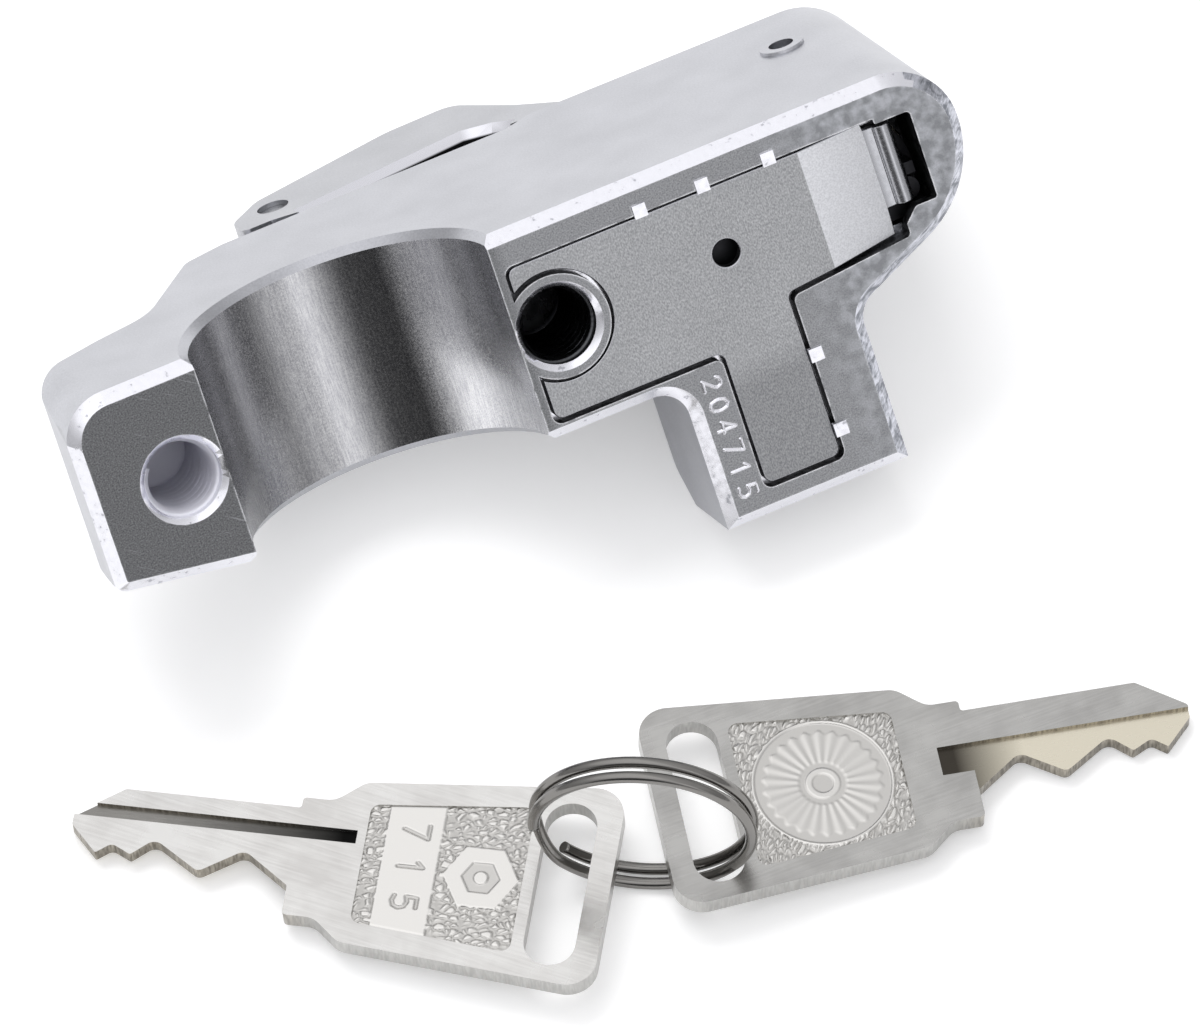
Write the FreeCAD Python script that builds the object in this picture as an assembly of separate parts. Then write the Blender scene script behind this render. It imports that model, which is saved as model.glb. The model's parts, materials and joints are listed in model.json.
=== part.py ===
import FreeCAD, Part
import math
import os

V = FreeCAD.Vector

# Helmet lock for a round tube, with its two keys on a split ring.
# The lock is drawn lying square: x runs along it from the left lug to the nose,
# y is up towards its top wall, and z is the outward normal of the mounting face.
# The tube's axis crosses x = 0. At the end everything turns to the way the lock
# lies on a table, on its lower front bevel, with the mounting face tilted up.

# Tube saddle
TUBE_RADIUS = 15.9
TUBE_AXIS_ABOVE_FACE = 0.4
SADDLE_EDGE_BEVEL = 0.8

# Casting
BODY_HEIGHT = 22.4
BODY_DEPTH = 32.5
LEFT_END = 30.4
LUG_DEPTH = 16.9
LUG_SIDE_LENGTH = 13.9
LUG_SIDE_LEAN = 1.4
LUG_TOP_ROUND = 5.0
LUG_LOW_RISE = 2.3
LUG_LOW_ROUND = 1.5
LUG_CORNER_RUN = 9.3
LUG_FRONT_END = 15.0
LUG_FRONT_RISE = 1.6
SHOULDER_FOOT = 7.6
SHOULDER_RISE = 1.2
HOOK_FACE_DEPTH = 30.8
HOOK_FACE_START = 3.2
HOOK_FACE_END = 28.0
HOOK_FACE_SLOPE = 3.0
NOSE_RIGHT = 65.8
NOSE_TOP_ROUND = 7.0
NOSE_LOW_CORNER = 14.6
NOSE_LOW_ROUND = 11.4
UNDERSIDE_SLANT_START = 48.7
FACE_BEVEL = 1.2
FRONT_ROUND = 1.6
LUG_TOP_BEVEL = 2.6
REST_TILT = 43.8
REST_HEIGHT = 36.0

# Leg
LEG_LEFT = 30.3
LEG_WIDTH = 19.8
LEG_REACH = 38.2
LEG_DEPTH = 21.0
LEG_FRONT_ROUND = 6.0
LEG_FOOT_FLAT = 5.0
LEG_FOOT_SLANT = 21.5
LEG_ROOT_ROUND = 3.0

# Bolt holes
BOLT_SPACING = 40.8
BOLT_Y = -11.4
BOLT_RADIUS = 4.0
BOLT_DEPTH = 13.5
BOLT_SINK = 0.6
BOSS_RADIUS = 5.4

# Cover plate and the recess it is staked into
PLATE_THICKNESS = 1.2
PLATE_SINK = 0.4
PLATE_GAP = 0.35
RECESS_LEFT = 16.8
RECESS_TOP = 3.7
RECESS_BAR_BOTTOM = 20.9
RECESS_NOSE_BOTTOM = 17.7
RECESS_NOSE_END = 16.5
RECESS_RIGHT = 61.0
RECESS_LUG_X = 57.2
RECESS_SLOT_TOP = 4.3
RECESS_SLOT_BOTTOM = 13.8
RECESS_SLANT_RUN = 1.4
LEDGE = 1.0
PLATE_BEND_X = 48.9
PLATE_END_X = 56.1
PLATE_LIP_X = 58.1
PLATE_LIP_DROP = 1.0
PLATE_LIP_RADIUS = 1.0
PLATE_LIP_RISE = 0.65
PLATE_LIP_TOP = 4.9
PLATE_LIP_BOTTOM = 13.4
PLATE_NOTCH_HALF = 4.65
PLATE_HOLE_X = 38.9
PLATE_HOLE_Y = -11.0
PLATE_HOLE_RADIUS = 1.45
STAKE_SIZE = 1.4
STAKE_HEIGHT = 0.25
STAKE_XS = (31.8, 38.6, 45.8)
STAKE_LEG_YS = (-24.2, -32.4)

# Stem of the T, which guides the bolt
STEM_CENTRE_X = 39.4
STEM_WIDTH = 6.9
STEM_REACH = 34.4
STEM_DEPTH = 11.0

# Key cylinder
CYL_X = 55.5
CYL_Y = -10.7
BARREL_RADIUS = 6.6
BARREL_BACK = 9.4
PLUG_RADIUS = 5.0
PLUG_BACK = 9.6
RUNNING_GAP = 0.05
FACE_RING_WIDTH = 1.1
FACE_RING_DEPTH = 1.0
TAIL_RADIUS = 2.4
TAIL_FLATS = 3.8
TAIL_END = 5.6
KEYWAY_WIDTH = 2.5
KEYWAY_HEIGHT = 8.8
BARREL_PIN_RADIUS = 1.25
BARREL_PIN_DEPTH = 21.6
BARREL_PIN_SINK = 1.0
BARREL_PIN_ENTRY = 1.0
STAKED_RIM_RADIUS = 2.3
STAKED_RIM_HEIGHT = 0.3

# Wafers
WAFER_COUNT = 4
WAFER_THICKNESS = 1.0
WAFER_PITCH = 3.2
WAFER_FIRST = 28.6
WAFER_WIDTH = 4.6
WAFER_HEIGHT = 8.0
WAFER_TRAVEL = 0.5
WAFER_GAP = 0.1
WAFER_WINDOW_LOW = 2.4
WAFER_WINDOW_HIGH = 2.9
WAFER_ARM_LOW = 0.9
WAFER_ARM_HEIGHT = 0.7
WAFER_ARM_ROOM = 0.4
WAFER_SPRING_RADIUS = 0.55
WAFER_SPRING_WIRE = 0.2
WAFER_SPRING_TURNS = 5
WAFER_SPRING_FOOT = 2.6
SPRING_END_GAP = 0.05

# Cam on the plug's tail
CAM_RADIUS = 5.6
CAM_THICKNESS = 2.2
CAM_TOP = 6.3
CAM_ROOM = 0.4
CRANK = 4.2
CRANK_START = 30.0
CRANK_RADIUS = 1.2
PLUG_TURN = 2 * CRANK_START
CLIP_RADIUS = 2.8
CLIP_THICKNESS = 0.4
CLIP_GROOVE = 0.7
CLIP_OPENING = 2.4
CLIP_GAP = 0.05

# Latch bolt
SLIDE_GAP = 0.2
BOLT_TRAVEL = 2 * CRANK * math.sin(math.radians(CRANK_START))
BOLT_STEM_TOP = -14.0
BOLT_STEM_BOTTOM = -22.5
BOLT_WEB_BOTTOM = -14.6
BOLT_NOSE_TOP = -6.6
BOLT_NOSE_BOTTOM = -12.5
BOLT_NOSE_LEFT = 28.0
BOLT_NOSE_DEPTH = 29.4
BOLT_NOSE_THICKNESS = 2.4
BOLT_ROOM = 0.5
BOLT_BACK = PLATE_SINK + PLATE_THICKNESS + PLATE_LIP_DROP + BOLT_ROOM
BOLT_ARM_THICKNESS = 2.4
BOLT_ARM_HEIGHT = 5.2
BOLT_ARM_RIGHT = 60.4
CRANK_GAP = 0.15
LATCH_SPRING_RADIUS = 2.6
LATCH_SPRING_WIRE = 0.7
LATCH_SPRING_TURNS = 5
LATCH_SPRING_END_GAP = 0.1

# Hook lever
PIVOT_X = 4.2
PIVOT_DEPTH = 37.3
PIVOT_RADIUS = 1.6
PIN_SINK = 0.5
EYE_FRONT = 3.6
EYE_LEFT = 0.8
EAR_RADIUS = 3.3
HOOK_TOP = -0.4
HOOK_BOTTOM = -10.0
PRONG = 2.2
SIDE_GAP = 0.3
EAR_THICKNESS = 2.4
HOOK_TAIL = 4.6
HOOK_TAIL_BACK = 4.0
HOOK_TAIL_FRONT = 0.4
HOOK_HEEL = 3.3
HOOK_SLOT_END = 6.2
HOOK_CREST_DEPTH = 46.4
HOOK_CREST_FALL = 0.4
HOOK_CREST_START = 19.3
HOOK_CREST_END = 26.6
HOOK_SHOULDER_X = 31.2
HOOK_SHOULDER_DEPTH = 38.4
HOOK_GAP_DEPTH = 36.0
HOOK_GAP_END = 24.6
HOOK_GAP_CORNER = 2.6
HOOK_GAP_RISE = 1.2
HOOK_EDGE_BEVEL = 1.2
HOOK_RAISE_X = 5.6
HOOK_RAISE_DEPTH = 32.5
TIP_OUTER = 30.4
TIP_INNER = 25.5
TIP_GAP = 0.4
TIP_BACK = 25.0
TIP_TOP = -2.0
TIP_SHOULDER = 0.7
TIP_ROOT = 0.5
RING_SEAT_DEPTH = 27.4
RING_SEAT_LEFT = 12.0
RING_SEAT_RIGHT = 26.0
RING_SEAT_ROOF = 1.6
HOOK_FLOOR_GAP = 0.4
HOOK_SPRING_WIRE = 0.4
HOOK_SPRING_PITCH = 0.85
HOOK_SPRING_TURNS = 2
HOOK_SPRING_ROOM = 0.3
HOOK_SPRING_LIFT = 0.45

# Key cover on the front
COVER_THICKNESS = 1.6
COVER_DISC_RADIUS = 6.4
COVER_DISC_Y = -10.4
COVER_PIVOT_X = 46.2
COVER_PIVOT_Y = -6.6
COVER_BOSS_RADIUS = 3.0
COVER_GAP = 0.3
COVER_TAB_WIDTH = 3.0
COVER_TAB_TOP = -0.9
COVER_TAB_STEP = 0.8
COVER_BRIDGE_HEIGHT = 5.0
RIVET_RADIUS = 1.3
RIVET_HEAD_RADIUS = 2.3
RIVET_HEAD = 0.8
RIVET_DEPTH = 5.0
RIVET_END_GAP = 0.2
RIVET_HEAD_GAP = 0.1

# Keys
KEY_THICKNESS = 2.1
KEY_LENGTH = 54.4
BLADE_LENGTH = 22.4
BLADE_BACK = 5.5
BLADE_ROOT = 8.9
NECK_WIDTH = 13.4
NECK_END = 25.6
BOW_START = 28.4
NECK_SHOULDER_ROUND = 2.2
BOW_WIDTH_START = 18.2
BOW_WIDTH_END = 23.0
BOW_ROUND = 3.0
KEY_SLOT_WIDTH = 5.2
KEY_SLOT_LENGTH = 18.4
KEY_STRIP = 2.4
KEY_GROOVE_DEPTH = 0.5
KEY_GROOVE_WIDTH = 1.5
KEY_GROOVE_FROM_BACK = 1.9
KEY_FLANK_FROM_BACK = 3.7
KEY_FLANK_HEIGHT = 3.2
KEY_POINT_RUN = 4.7
KEY_POINT_DROP = 3.4
KEY_POINT_HEIGHT = 1.2
# The cuts that the wafers read: place along the blade, distance from its back, rounding
KEY_CUTS = (
    (17.6, 5.5, 1.2),
    (13.3, 8.4, 0.8),
    (8.5, 5.3, 1.2),
    (6.3, 7.3, 0.3),
    (4.3, 6.3, 0.8),
    (2.8, 7.5, 0.2),
)
PANEL_DEPTH = 0.3
PANEL_MARGIN = 2.4
PANEL_TAPER = 0.8
PANEL_LENGTH = 16.3
PANEL_FROM_SLOT = 1.2

# Split ring and how the keys lie on the table, from the foot of the
# saddle's right-hand corner
RING_RADIUS = 11.4
RING_WIRE = 1.2
RING_TURN_GAP = 0.45
RING_STEP_ANGLE = 40.0
RING_TURNED = 150.0
RING_PLACE = (-8.1, -54.2)
RING_YAW = -28.6
KEY_CLEAR_OF_RING = 0.45
KEY_1_FROM_RING = 3.8
KEY_1_YAW = -34.0
KEY_1_SHIFT = -4.1
KEY_2_FROM_RING = 3.4
KEY_2_YAW = -13.2
KEY_2_SHIFT = 5.7


def box(x0, x1, y0, y1, z0, z1):
    low = V(min(x0, x1), min(y0, y1), min(z0, z1))
    return Part.makeBox(abs(x1 - x0), abs(y1 - y0), abs(z1 - z0), low)


def disc(x, y, radius, z0, z1):
    return Part.makeCylinder(radius, abs(z1 - z0), V(x, y, min(z0, z1)))


def rod_y(x, z, radius, y0, y1):
    return Part.makeCylinder(radius, abs(y1 - y0), V(x, min(y0, y1), z), V(0, 1, 0))


def outline(corners):
    """A closed wire through (a, b, radius) corners, each rounded by a tangent arc."""
    count = len(corners)
    stretches = []
    for i in range(count):
        a, b, radius = corners[i]
        before = corners[i - 1]
        after = corners[(i + 1) % count]
        here = V(a, b, 0)
        to_before = V(before[0] - a, before[1] - b, 0).normalize()
        to_after = V(after[0] - a, after[1] - b, 0).normalize()
        if radius == 0:
            stretches.append((here, None, here))
            continue
        half = to_before.getAngle(to_after) / 2
        reach = radius / math.tan(half)
        bisector = (to_before + to_after).normalize()
        centre = here + bisector * (radius / math.sin(half))
        stretches.append((here + to_before * reach, centre - bisector * radius, here + to_after * reach))
    edges = []
    for i in range(count):
        start, middle, end = stretches[i]
        if middle is not None:
            edges.append(Part.Arc(start, middle, end).toShape())
        following = stretches[(i + 1) % count][0]
        if end.distanceToPoint(following) > 1e-6:
            edges.append(Part.LineSegment(end, following).toShape())
    return Part.Wire(edges)


def slab(corners, z0, z1):
    """The outline in x and y, between two heights."""
    face = Part.Face(outline(corners))
    face.translate(V(0, 0, min(z0, z1)))
    return face.extrude(V(0, 0, abs(z1 - z0)))


def slab_y(corners, y0, y1):
    """The outline in x and z, between two places along y."""
    face = Part.Face(outline([(x, -z, r) for x, z, r in corners]))
    face.rotate(V(0, 0, 0), V(1, 0, 0), -90)
    face.translate(V(0, min(y0, y1), 0))
    return face.extrude(V(0, abs(y1 - y0), 0))


def bent_to(start, tangent, end):
    """The arc, or straight line, that leaves start along tangent and reaches end."""
    chord = end - start
    across = tangent.cross(chord)
    if across.Length < 1e-9 * chord.Length:
        return Part.LineSegment(start, end).toShape()
    inward = across.cross(tangent).normalize()
    radius = chord.dot(chord) / (2 * inward.dot(chord))
    centre = start + inward * radius
    middle = centre + ((start - centre) + (end - centre)).normalize() * radius
    return Part.Arc(start, middle, end).toShape()


def biarc(start, start_tangent, end, end_tangent):
    """Two arcs in a smooth line between two points with their directions."""
    chord = end - start
    both = start_tangent + end_tangent
    bend = 2 * (1 - start_tangent.dot(end_tangent))
    along = chord.dot(both)
    if bend < 1e-9:
        reach = chord.dot(chord) / (4 * chord.dot(end_tangent))
    else:
        reach = (-along + math.sqrt(along ** 2 + bend * chord.dot(chord))) / bend
    joint = (start + start_tangent * reach + end - end_tangent * reach) * 0.5
    first = bent_to(start, start_tangent, joint)
    second = bent_to(end, end_tangent * -1, joint)
    return [first, second]


def least_gap(path, radius, wire):
    """Between places on the wire that lie half a turn or more apart along it."""
    spacing = radius / 12
    points = path.discretize(Number=int(path.Length / spacing))
    apart = int(math.pi * radius / spacing)
    least = path.Length
    for i, point in enumerate(points):
        for other in points[i + apart:]:
            least = min(least, point.distanceToPoint(other))
    return least - wire


def wound(radius, wire, stations):
    """One open tube round the z axis through (angle in degrees, height, rise per radian)."""
    edges = []
    last = None
    for degrees, height, rise in stations:
        angle = math.radians(degrees)
        place = V(radius * math.cos(angle), radius * math.sin(angle), height)
        tangent = V(-radius * math.sin(angle), radius * math.cos(angle), rise).normalize()
        if last is not None:
            edges += biarc(last[0], last[1], place, tangent)
        else:
            first_place, first_tangent = place, tangent
        last = (place, tangent)
    path = Part.Wire(edges)
    print("wound wire: least gap to itself", round(least_gap(path, radius, wire), 2), "mm")
    section = Part.Wire([Part.Circle(first_place, first_tangent, wire / 2).toShape()])
    return path.makePipeShell([section], True, False)


def coil(radius, pitch, turns, wire, start, axis):
    """One open helical tube, in quarter turns."""
    rise = pitch / (2 * math.pi)
    quarters = round(4 * turns)
    stations = [(90 * i, pitch * i / 4, rise) for i in range(quarters + 1)]
    tube = wound(radius, wire, stations)
    tube.Placement = FreeCAD.Placement(start, FreeCAD.Rotation(V(0, 0, 1), axis))
    return tube


def below_rest_plane(raise_by=0.0):
    """Everything under the plane that the lock lies on."""
    block = Part.makeBox(200, 200, 60, V(-100, -100, -60))
    block.translate(V(0, 0, -REST_HEIGHT + raise_by))
    block.rotate(V(0, 0, 0), V(1, 0, 0), -(90 - REST_TILT))
    return block


def casting_block():
    plan = slab([
        (-LEFT_END, 0, LUG_TOP_ROUND),
        (NOSE_RIGHT, 0, NOSE_TOP_ROUND),
        (NOSE_RIGHT, -NOSE_LOW_CORNER, NOSE_LOW_ROUND),
        (UNDERSIDE_SLANT_START, -BODY_HEIGHT, 0),
        (-TUBE_RADIUS, -BODY_HEIGHT, 0),
        (-LEFT_END, -BODY_HEIGHT + LUG_LOW_RISE, LUG_LOW_ROUND),
    ], 0, -BODY_DEPTH)
    side = slab_y([
        (-LEFT_END, 0, 0),
        (-LEFT_END + LUG_SIDE_LEAN, -LUG_SIDE_LENGTH, 5.0),
        (-LEFT_END + LUG_CORNER_RUN, -LUG_DEPTH, 6.0),
        (-LUG_FRONT_END, -LUG_DEPTH - LUG_FRONT_RISE, 6.0),
        (-SHOULDER_FOOT, -HOOK_FACE_DEPTH + SHOULDER_RISE, 2.0),
        (-HOOK_FACE_START, -HOOK_FACE_DEPTH, 2.0),
        (HOOK_FACE_END, -HOOK_FACE_DEPTH, 1.0),
        (HOOK_FACE_END + HOOK_FACE_SLOPE, -BODY_DEPTH, 1.0),
        (NOSE_RIGHT, -BODY_DEPTH, FRONT_ROUND),
        (NOSE_RIGHT, 0, 0),
    ], 1, -BODY_HEIGHT - 1)
    return plan.common(side)


def casting_leg():
    right = LEG_LEFT + LEG_WIDTH
    column = slab_y([
        (LEG_LEFT, 0, 0),
        (LEG_LEFT, -LEG_DEPTH, LEG_FRONT_ROUND),
        (right, -LEG_DEPTH, LEG_FRONT_ROUND),
        (right, 0, 0),
    ], -LEG_REACH, -BODY_HEIGHT / 2)
    slant = box(-100, 100, -100, 0, -100, 0)
    slant.rotate(V(0, 0, 0), V(1, 0, 0), -LEG_FOOT_SLANT)
    slant.translate(V(0, -LEG_REACH, -LEG_FOOT_FLAT))
    return column.cut(slant)


def underside(x):
    """Height of the nose's slanting underside."""
    slope = (BODY_HEIGHT - NOSE_LOW_CORNER) / (NOSE_RIGHT - UNDERSIDE_SLANT_START)
    return -BODY_HEIGHT + slope * (x - UNDERSIDE_SLANT_START)


def root_fillets():
    """Rounds where the leg leaves the underside of the block."""
    low = -BODY_HEIGHT - 2 * LEG_ROOT_ROUND
    right = LEG_LEFT + LEG_WIDTH
    left_far = LEG_LEFT - 2 * LEG_ROOT_ROUND
    right_far = right + 2 * LEG_ROOT_ROUND
    left_side = slab([
        (LEG_LEFT + 1, low, 0),
        (LEG_LEFT, low, 0),
        (LEG_LEFT, -BODY_HEIGHT, LEG_ROOT_ROUND),
        (left_far, -BODY_HEIGHT, 0),
        (left_far, -BODY_HEIGHT / 2, 0),
        (LEG_LEFT + 1, -BODY_HEIGHT / 2, 0),
    ], 0, -LEG_DEPTH + LEG_FRONT_ROUND)
    right_side = slab([
        (right - 1, low, 0),
        (right, low, 0),
        (right, underside(right), LEG_ROOT_ROUND),
        (right_far, underside(right_far), 0),
        (right_far, -BODY_HEIGHT / 2, 0),
        (right - 1, -BODY_HEIGHT / 2, 0),
    ], 0, -LEG_DEPTH + LEG_FRONT_ROUND)
    return [left_side, right_side]


def face_edges(shape):
    found = []
    for edge in shape.Edges:
        box_ = edge.BoundBox
        if abs(box_.ZMin) < 1e-4 and abs(box_.ZMax) < 1e-4:
            found.append(edge)
    return found


def recess_corners(gap=0.0):
    left = RECESS_LEFT + gap
    top = -RECESS_TOP - gap
    bar = -RECESS_BAR_BOTTOM + gap
    nose = -RECESS_NOSE_BOTTOM + gap
    nose_end = -RECESS_NOSE_END + gap
    stem_left = STEM_CENTRE_X - STEM_WIDTH / 2 - LEDGE + gap
    stem_right = STEM_CENTRE_X + STEM_WIDTH / 2 + LEDGE - gap
    foot = -STEM_REACH - LEDGE + gap
    right = RECESS_RIGHT - gap
    lug = RECESS_LUG_X - gap
    slot_top = -RECESS_SLOT_TOP - gap
    slot_bottom = -RECESS_SLOT_BOTTOM + gap
    return [
        (left, top, 1.0),
        (lug, top, 0.2),
        (lug, slot_top, 0.2),
        (right, slot_top, 0.5),
        (right, slot_bottom, 0.3),
        (lug + RECESS_SLANT_RUN, slot_bottom, 0.8),
        (lug, slot_bottom - RECESS_SLANT_RUN, 0.3),
        (lug, nose_end, 0.5),
        (stem_right, nose, 0.8),
        (stem_right, foot, 1.0),
        (stem_left, foot, 1.0),
        (stem_left, bar, 0.8),
        (left, bar, 1.0),
    ]


def hook_sector(outer, inner, y0, y1, back):
    """Part of a ring round the hook's pivot, from the front to the given depth."""
    ring = rod_y(PIVOT_X, -PIVOT_DEPTH, outer, y0, y1)
    ring = ring.cut(rod_y(PIVOT_X, -PIVOT_DEPTH, inner, y0 + 1, y1 - 1))
    return ring.common(box(PIVOT_X + 10, PIVOT_X + 40, y0, y1, -back, -BODY_DEPTH - 1))


def body_casting():
    body = casting_block().fuse([casting_leg()] + root_fillets()).removeSplitter()
    body = body.makeChamfer(FACE_BEVEL, face_edges(body))

    # Facet over the left lug, between the mounting face and the top wall
    facet = slab([
        (-LEFT_END - 5, -LUG_TOP_BEVEL, 0),
        (-LEFT_END - 5, 5, 0),
        (-TUBE_RADIUS, 5, 0),
        (-TUBE_RADIUS, -LUG_TOP_BEVEL, 0),
    ], 5, 0)
    facet.rotate(V(0, -LUG_TOP_BEVEL, 0), V(1, 0, 0), 45)
    body = body.cut(facet)

    # Saddle for the tube, with its bevelled rims
    axis_z = TUBE_AXIS_ABOVE_FACE
    body = body.cut(rod_y(0, axis_z, TUBE_RADIUS, 5, -BODY_HEIGHT - 5))
    rim = TUBE_RADIUS + SADDLE_EDGE_BEVEL
    body = body.cut(Part.makeCone(rim, TUBE_RADIUS, SADDLE_EDGE_BEVEL, V(0, 0, axis_z), V(0, -1, 0)))
    body = body.cut(Part.makeCone(rim, TUBE_RADIUS, SADDLE_EDGE_BEVEL,
                                  V(0, -BODY_HEIGHT, axis_z), V(0, 1, 0)))

    # Recess for the plate, with the right bolt boss left standing in it
    floor = PLATE_SINK + PLATE_THICKNESS
    boss_x = BOLT_SPACING / 2
    recess = slab(recess_corners(), 1, -floor)
    recess = recess.fuse(slab(recess_corners(), 1, -floor - PLATE_LIP_DROP)
                         .common(box(PLATE_BEND_X, 80, 0, -40, 1, -20)))
    body = body.cut(recess.cut(disc(boss_x, BOLT_Y, BOSS_RADIUS, 2, -20)))

    # Room behind the plate for the bolt, its arm, the cam and the spring
    stem_left = STEM_CENTRE_X - STEM_WIDTH / 2
    stem_right = STEM_CENTRE_X + STEM_WIDTH / 2
    top = -RECESS_TOP - LEDGE
    low = -RECESS_BAR_BOTTOM + LEDGE
    arm_low = crank_place()[1] - BOLT_ARM_HEIGHT / 2 - BOLT_TRAVEL - SIDE_GAP
    cam_front = CAM_TOP + CAM_THICKNESS + CAM_ROOM
    body = body.cut(box(BOLT_NOSE_LEFT - BOLT_ROOM, stem_right, top, low, 0, -BOLT_NOSE_DEPTH - BOLT_ROOM))
    body = body.cut(box(stem_left, stem_right, -BODY_HEIGHT / 2, -STEM_REACH, 0, -STEM_DEPTH))
    body = body.cut(box(stem_right - 1, RECESS_RIGHT, top, arm_low, -floor, -cam_front))
    body = body.cut(box(RECESS_RIGHT - 1, RECESS_RIGHT + BOLT_ROOM, top, -RECESS_SLOT_BOTTOM,
                        -floor - PLATE_LIP_DROP, -cam_front))

    # Bolt holes
    for side in (-1, 1):
        x = side * BOLT_SPACING / 2
        body = body.cut(disc(x, BOLT_Y, BOLT_RADIUS, 1, -BOLT_DEPTH))
        body = body.cut(Part.makeCone(BOLT_RADIUS + BOLT_SINK, BOLT_RADIUS, BOLT_SINK,
                                      V(x, BOLT_Y, 0), V(0, 0, -1)))

    # Bore for the key cylinder and the hole for its pin
    body = body.cut(disc(CYL_X, CYL_Y, BARREL_RADIUS + RUNNING_GAP, -BARREL_BACK, -BODY_DEPTH - 1))
    body = body.cut(disc(CYL_X, CYL_Y, CAM_RADIUS + CAM_ROOM, -CAM_TOP + 1, -BARREL_BACK - 0.1))
    staked = rod_y(CYL_X, -BARREL_PIN_DEPTH, STAKED_RIM_RADIUS, STAKED_RIM_HEIGHT, -1)
    body = body.fuse(staked)
    body = body.cut(rod_y(CYL_X, -BARREL_PIN_DEPTH, BARREL_PIN_RADIUS + RUNNING_GAP, 5, CYL_Y))

    # Slot that the hook's tip enters, and the seat for a helmet's ring
    body = body.cut(hook_sector(TIP_OUTER + TIP_GAP, TIP_INNER - TIP_GAP,
                                TIP_TOP + TIP_GAP, HOOK_BOTTOM - TIP_GAP, TIP_BACK - TIP_GAP))
    seat = slab_y([
        (RING_SEAT_LEFT, -HOOK_FACE_DEPTH - 2, 0),
        (RING_SEAT_LEFT, -RING_SEAT_DEPTH, 2.0),
        (RING_SEAT_RIGHT, -RING_SEAT_DEPTH, 2.0),
        (RING_SEAT_RIGHT, -HOOK_FACE_DEPTH - 2, 0),
    ], -RING_SEAT_ROOF, -BODY_HEIGHT - 1)
    body = body.cut(seat)

    # Ear for the hook's pin
    ear_top = HOOK_TOP - PRONG - SIDE_GAP
    ear = rod_y(PIVOT_X, -PIVOT_DEPTH, EAR_RADIUS, ear_top, ear_top - EAR_THICKNESS)
    ear = ear.fuse(box(PIVOT_X - EAR_RADIUS, PIVOT_X + EAR_RADIUS, ear_top, ear_top - EAR_THICKNESS,
                       -HOOK_FACE_DEPTH + 1, -PIVOT_DEPTH))
    body = body.fuse(ear)
    body = body.cut(rod_y(PIVOT_X, -PIVOT_DEPTH, PIVOT_RADIUS + RUNNING_GAP, 2, -BODY_HEIGHT))

    # Hole for the key cover's rivet
    body = body.cut(disc(COVER_PIVOT_X, COVER_PIVOT_Y, RIVET_RADIUS + RUNNING_GAP,
                         -BODY_DEPTH + RIVET_DEPTH, -BODY_DEPTH - 1))

    # Staked metal along the rim and the leg
    stakes = []
    rim_y = -RECESS_TOP - PLATE_GAP
    for x in STAKE_XS:
        stakes.append(box(x - STAKE_SIZE / 2, x + STAKE_SIZE / 2, rim_y, rim_y + STAKE_SIZE,
                          -PLATE_SINK, STAKE_HEIGHT))
    leg_x = STEM_CENTRE_X + STEM_WIDTH / 2 + LEDGE - PLATE_GAP
    for y in STAKE_LEG_YS:
        stakes.append(box(leg_x, leg_x + STAKE_SIZE, y - STAKE_SIZE / 2, y + STAKE_SIZE / 2,
                          -PLATE_SINK, STAKE_HEIGHT))
    body = body.fuse(stakes)
    return body.cut(below_rest_plane()).removeSplitter()


def cover_plate():
    top = -PLATE_SINK
    under = top - PLATE_THICKNESS
    low_top = top - PLATE_LIP_DROP
    plan = slab(recess_corners(PLATE_GAP), 2, -10).common(box(0, PLATE_END_X, 0, -40, 2, -10))
    plan = plan.fuse(box(PLATE_BEND_X, PLATE_LIP_X, -PLATE_LIP_TOP, -PLATE_LIP_BOTTOM, 2, -10))
    section = slab_y([
        (0, top, 0),
        (PLATE_BEND_X, top, 0),
        (PLATE_END_X, low_top, 0),
        (PLATE_LIP_X, low_top, 0),
        (PLATE_LIP_X, low_top - PLATE_THICKNESS, 0),
        (PLATE_END_X, low_top - PLATE_THICKNESS, 0),
        (PLATE_BEND_X, under, 0),
        (0, under, 0),
    ], 0, -40)
    plate = plan.common(section)
    plate = plate.cut(disc(BOLT_SPACING / 2, BOLT_Y, BOSS_RADIUS + PLATE_GAP, 5, -10))
    plate = plate.cut(box(0, BOLT_SPACING / 2, BOLT_Y - PLATE_NOTCH_HALF, BOLT_Y + PLATE_NOTCH_HALF,
                          5, -10))
    lip = rod_y(PLATE_LIP_X, low_top + PLATE_LIP_RISE - PLATE_LIP_RADIUS, PLATE_LIP_RADIUS,
                -PLATE_LIP_TOP, -PLATE_LIP_BOTTOM)
    plate = plate.fuse(lip).cut(disc(PLATE_HOLE_X, PLATE_HOLE_Y, PLATE_HOLE_RADIUS, 5, -10))
    return plate.removeSplitter()


def cylinder_barrel():
    front = -BODY_DEPTH
    barrel = disc(CYL_X, CYL_Y, BARREL_RADIUS, -BARREL_BACK - 0.1, front)
    barrel = barrel.cut(disc(CYL_X, CYL_Y, PLUG_RADIUS + RUNNING_GAP, 0, front - 1))
    seat = disc(CYL_X, CYL_Y, PLUG_RADIUS + FACE_RING_WIDTH, front + FACE_RING_DEPTH, front - 1)
    pin_hole = rod_y(CYL_X, -BARREL_PIN_DEPTH, BARREL_PIN_RADIUS + RUNNING_GAP,
                     CYL_Y + BARREL_RADIUS + 1, CYL_Y + BARREL_RADIUS - BARREL_PIN_ENTRY - 0.1)
    return barrel.cut(seat).cut(pin_hole)


def face_ring():
    front = -BODY_DEPTH
    ring = disc(CYL_X, CYL_Y, PLUG_RADIUS + FACE_RING_WIDTH, front + FACE_RING_DEPTH, front)
    return ring.cut(disc(CYL_X, CYL_Y, PLUG_RADIUS + RUNNING_GAP, 0, front - 1))


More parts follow.
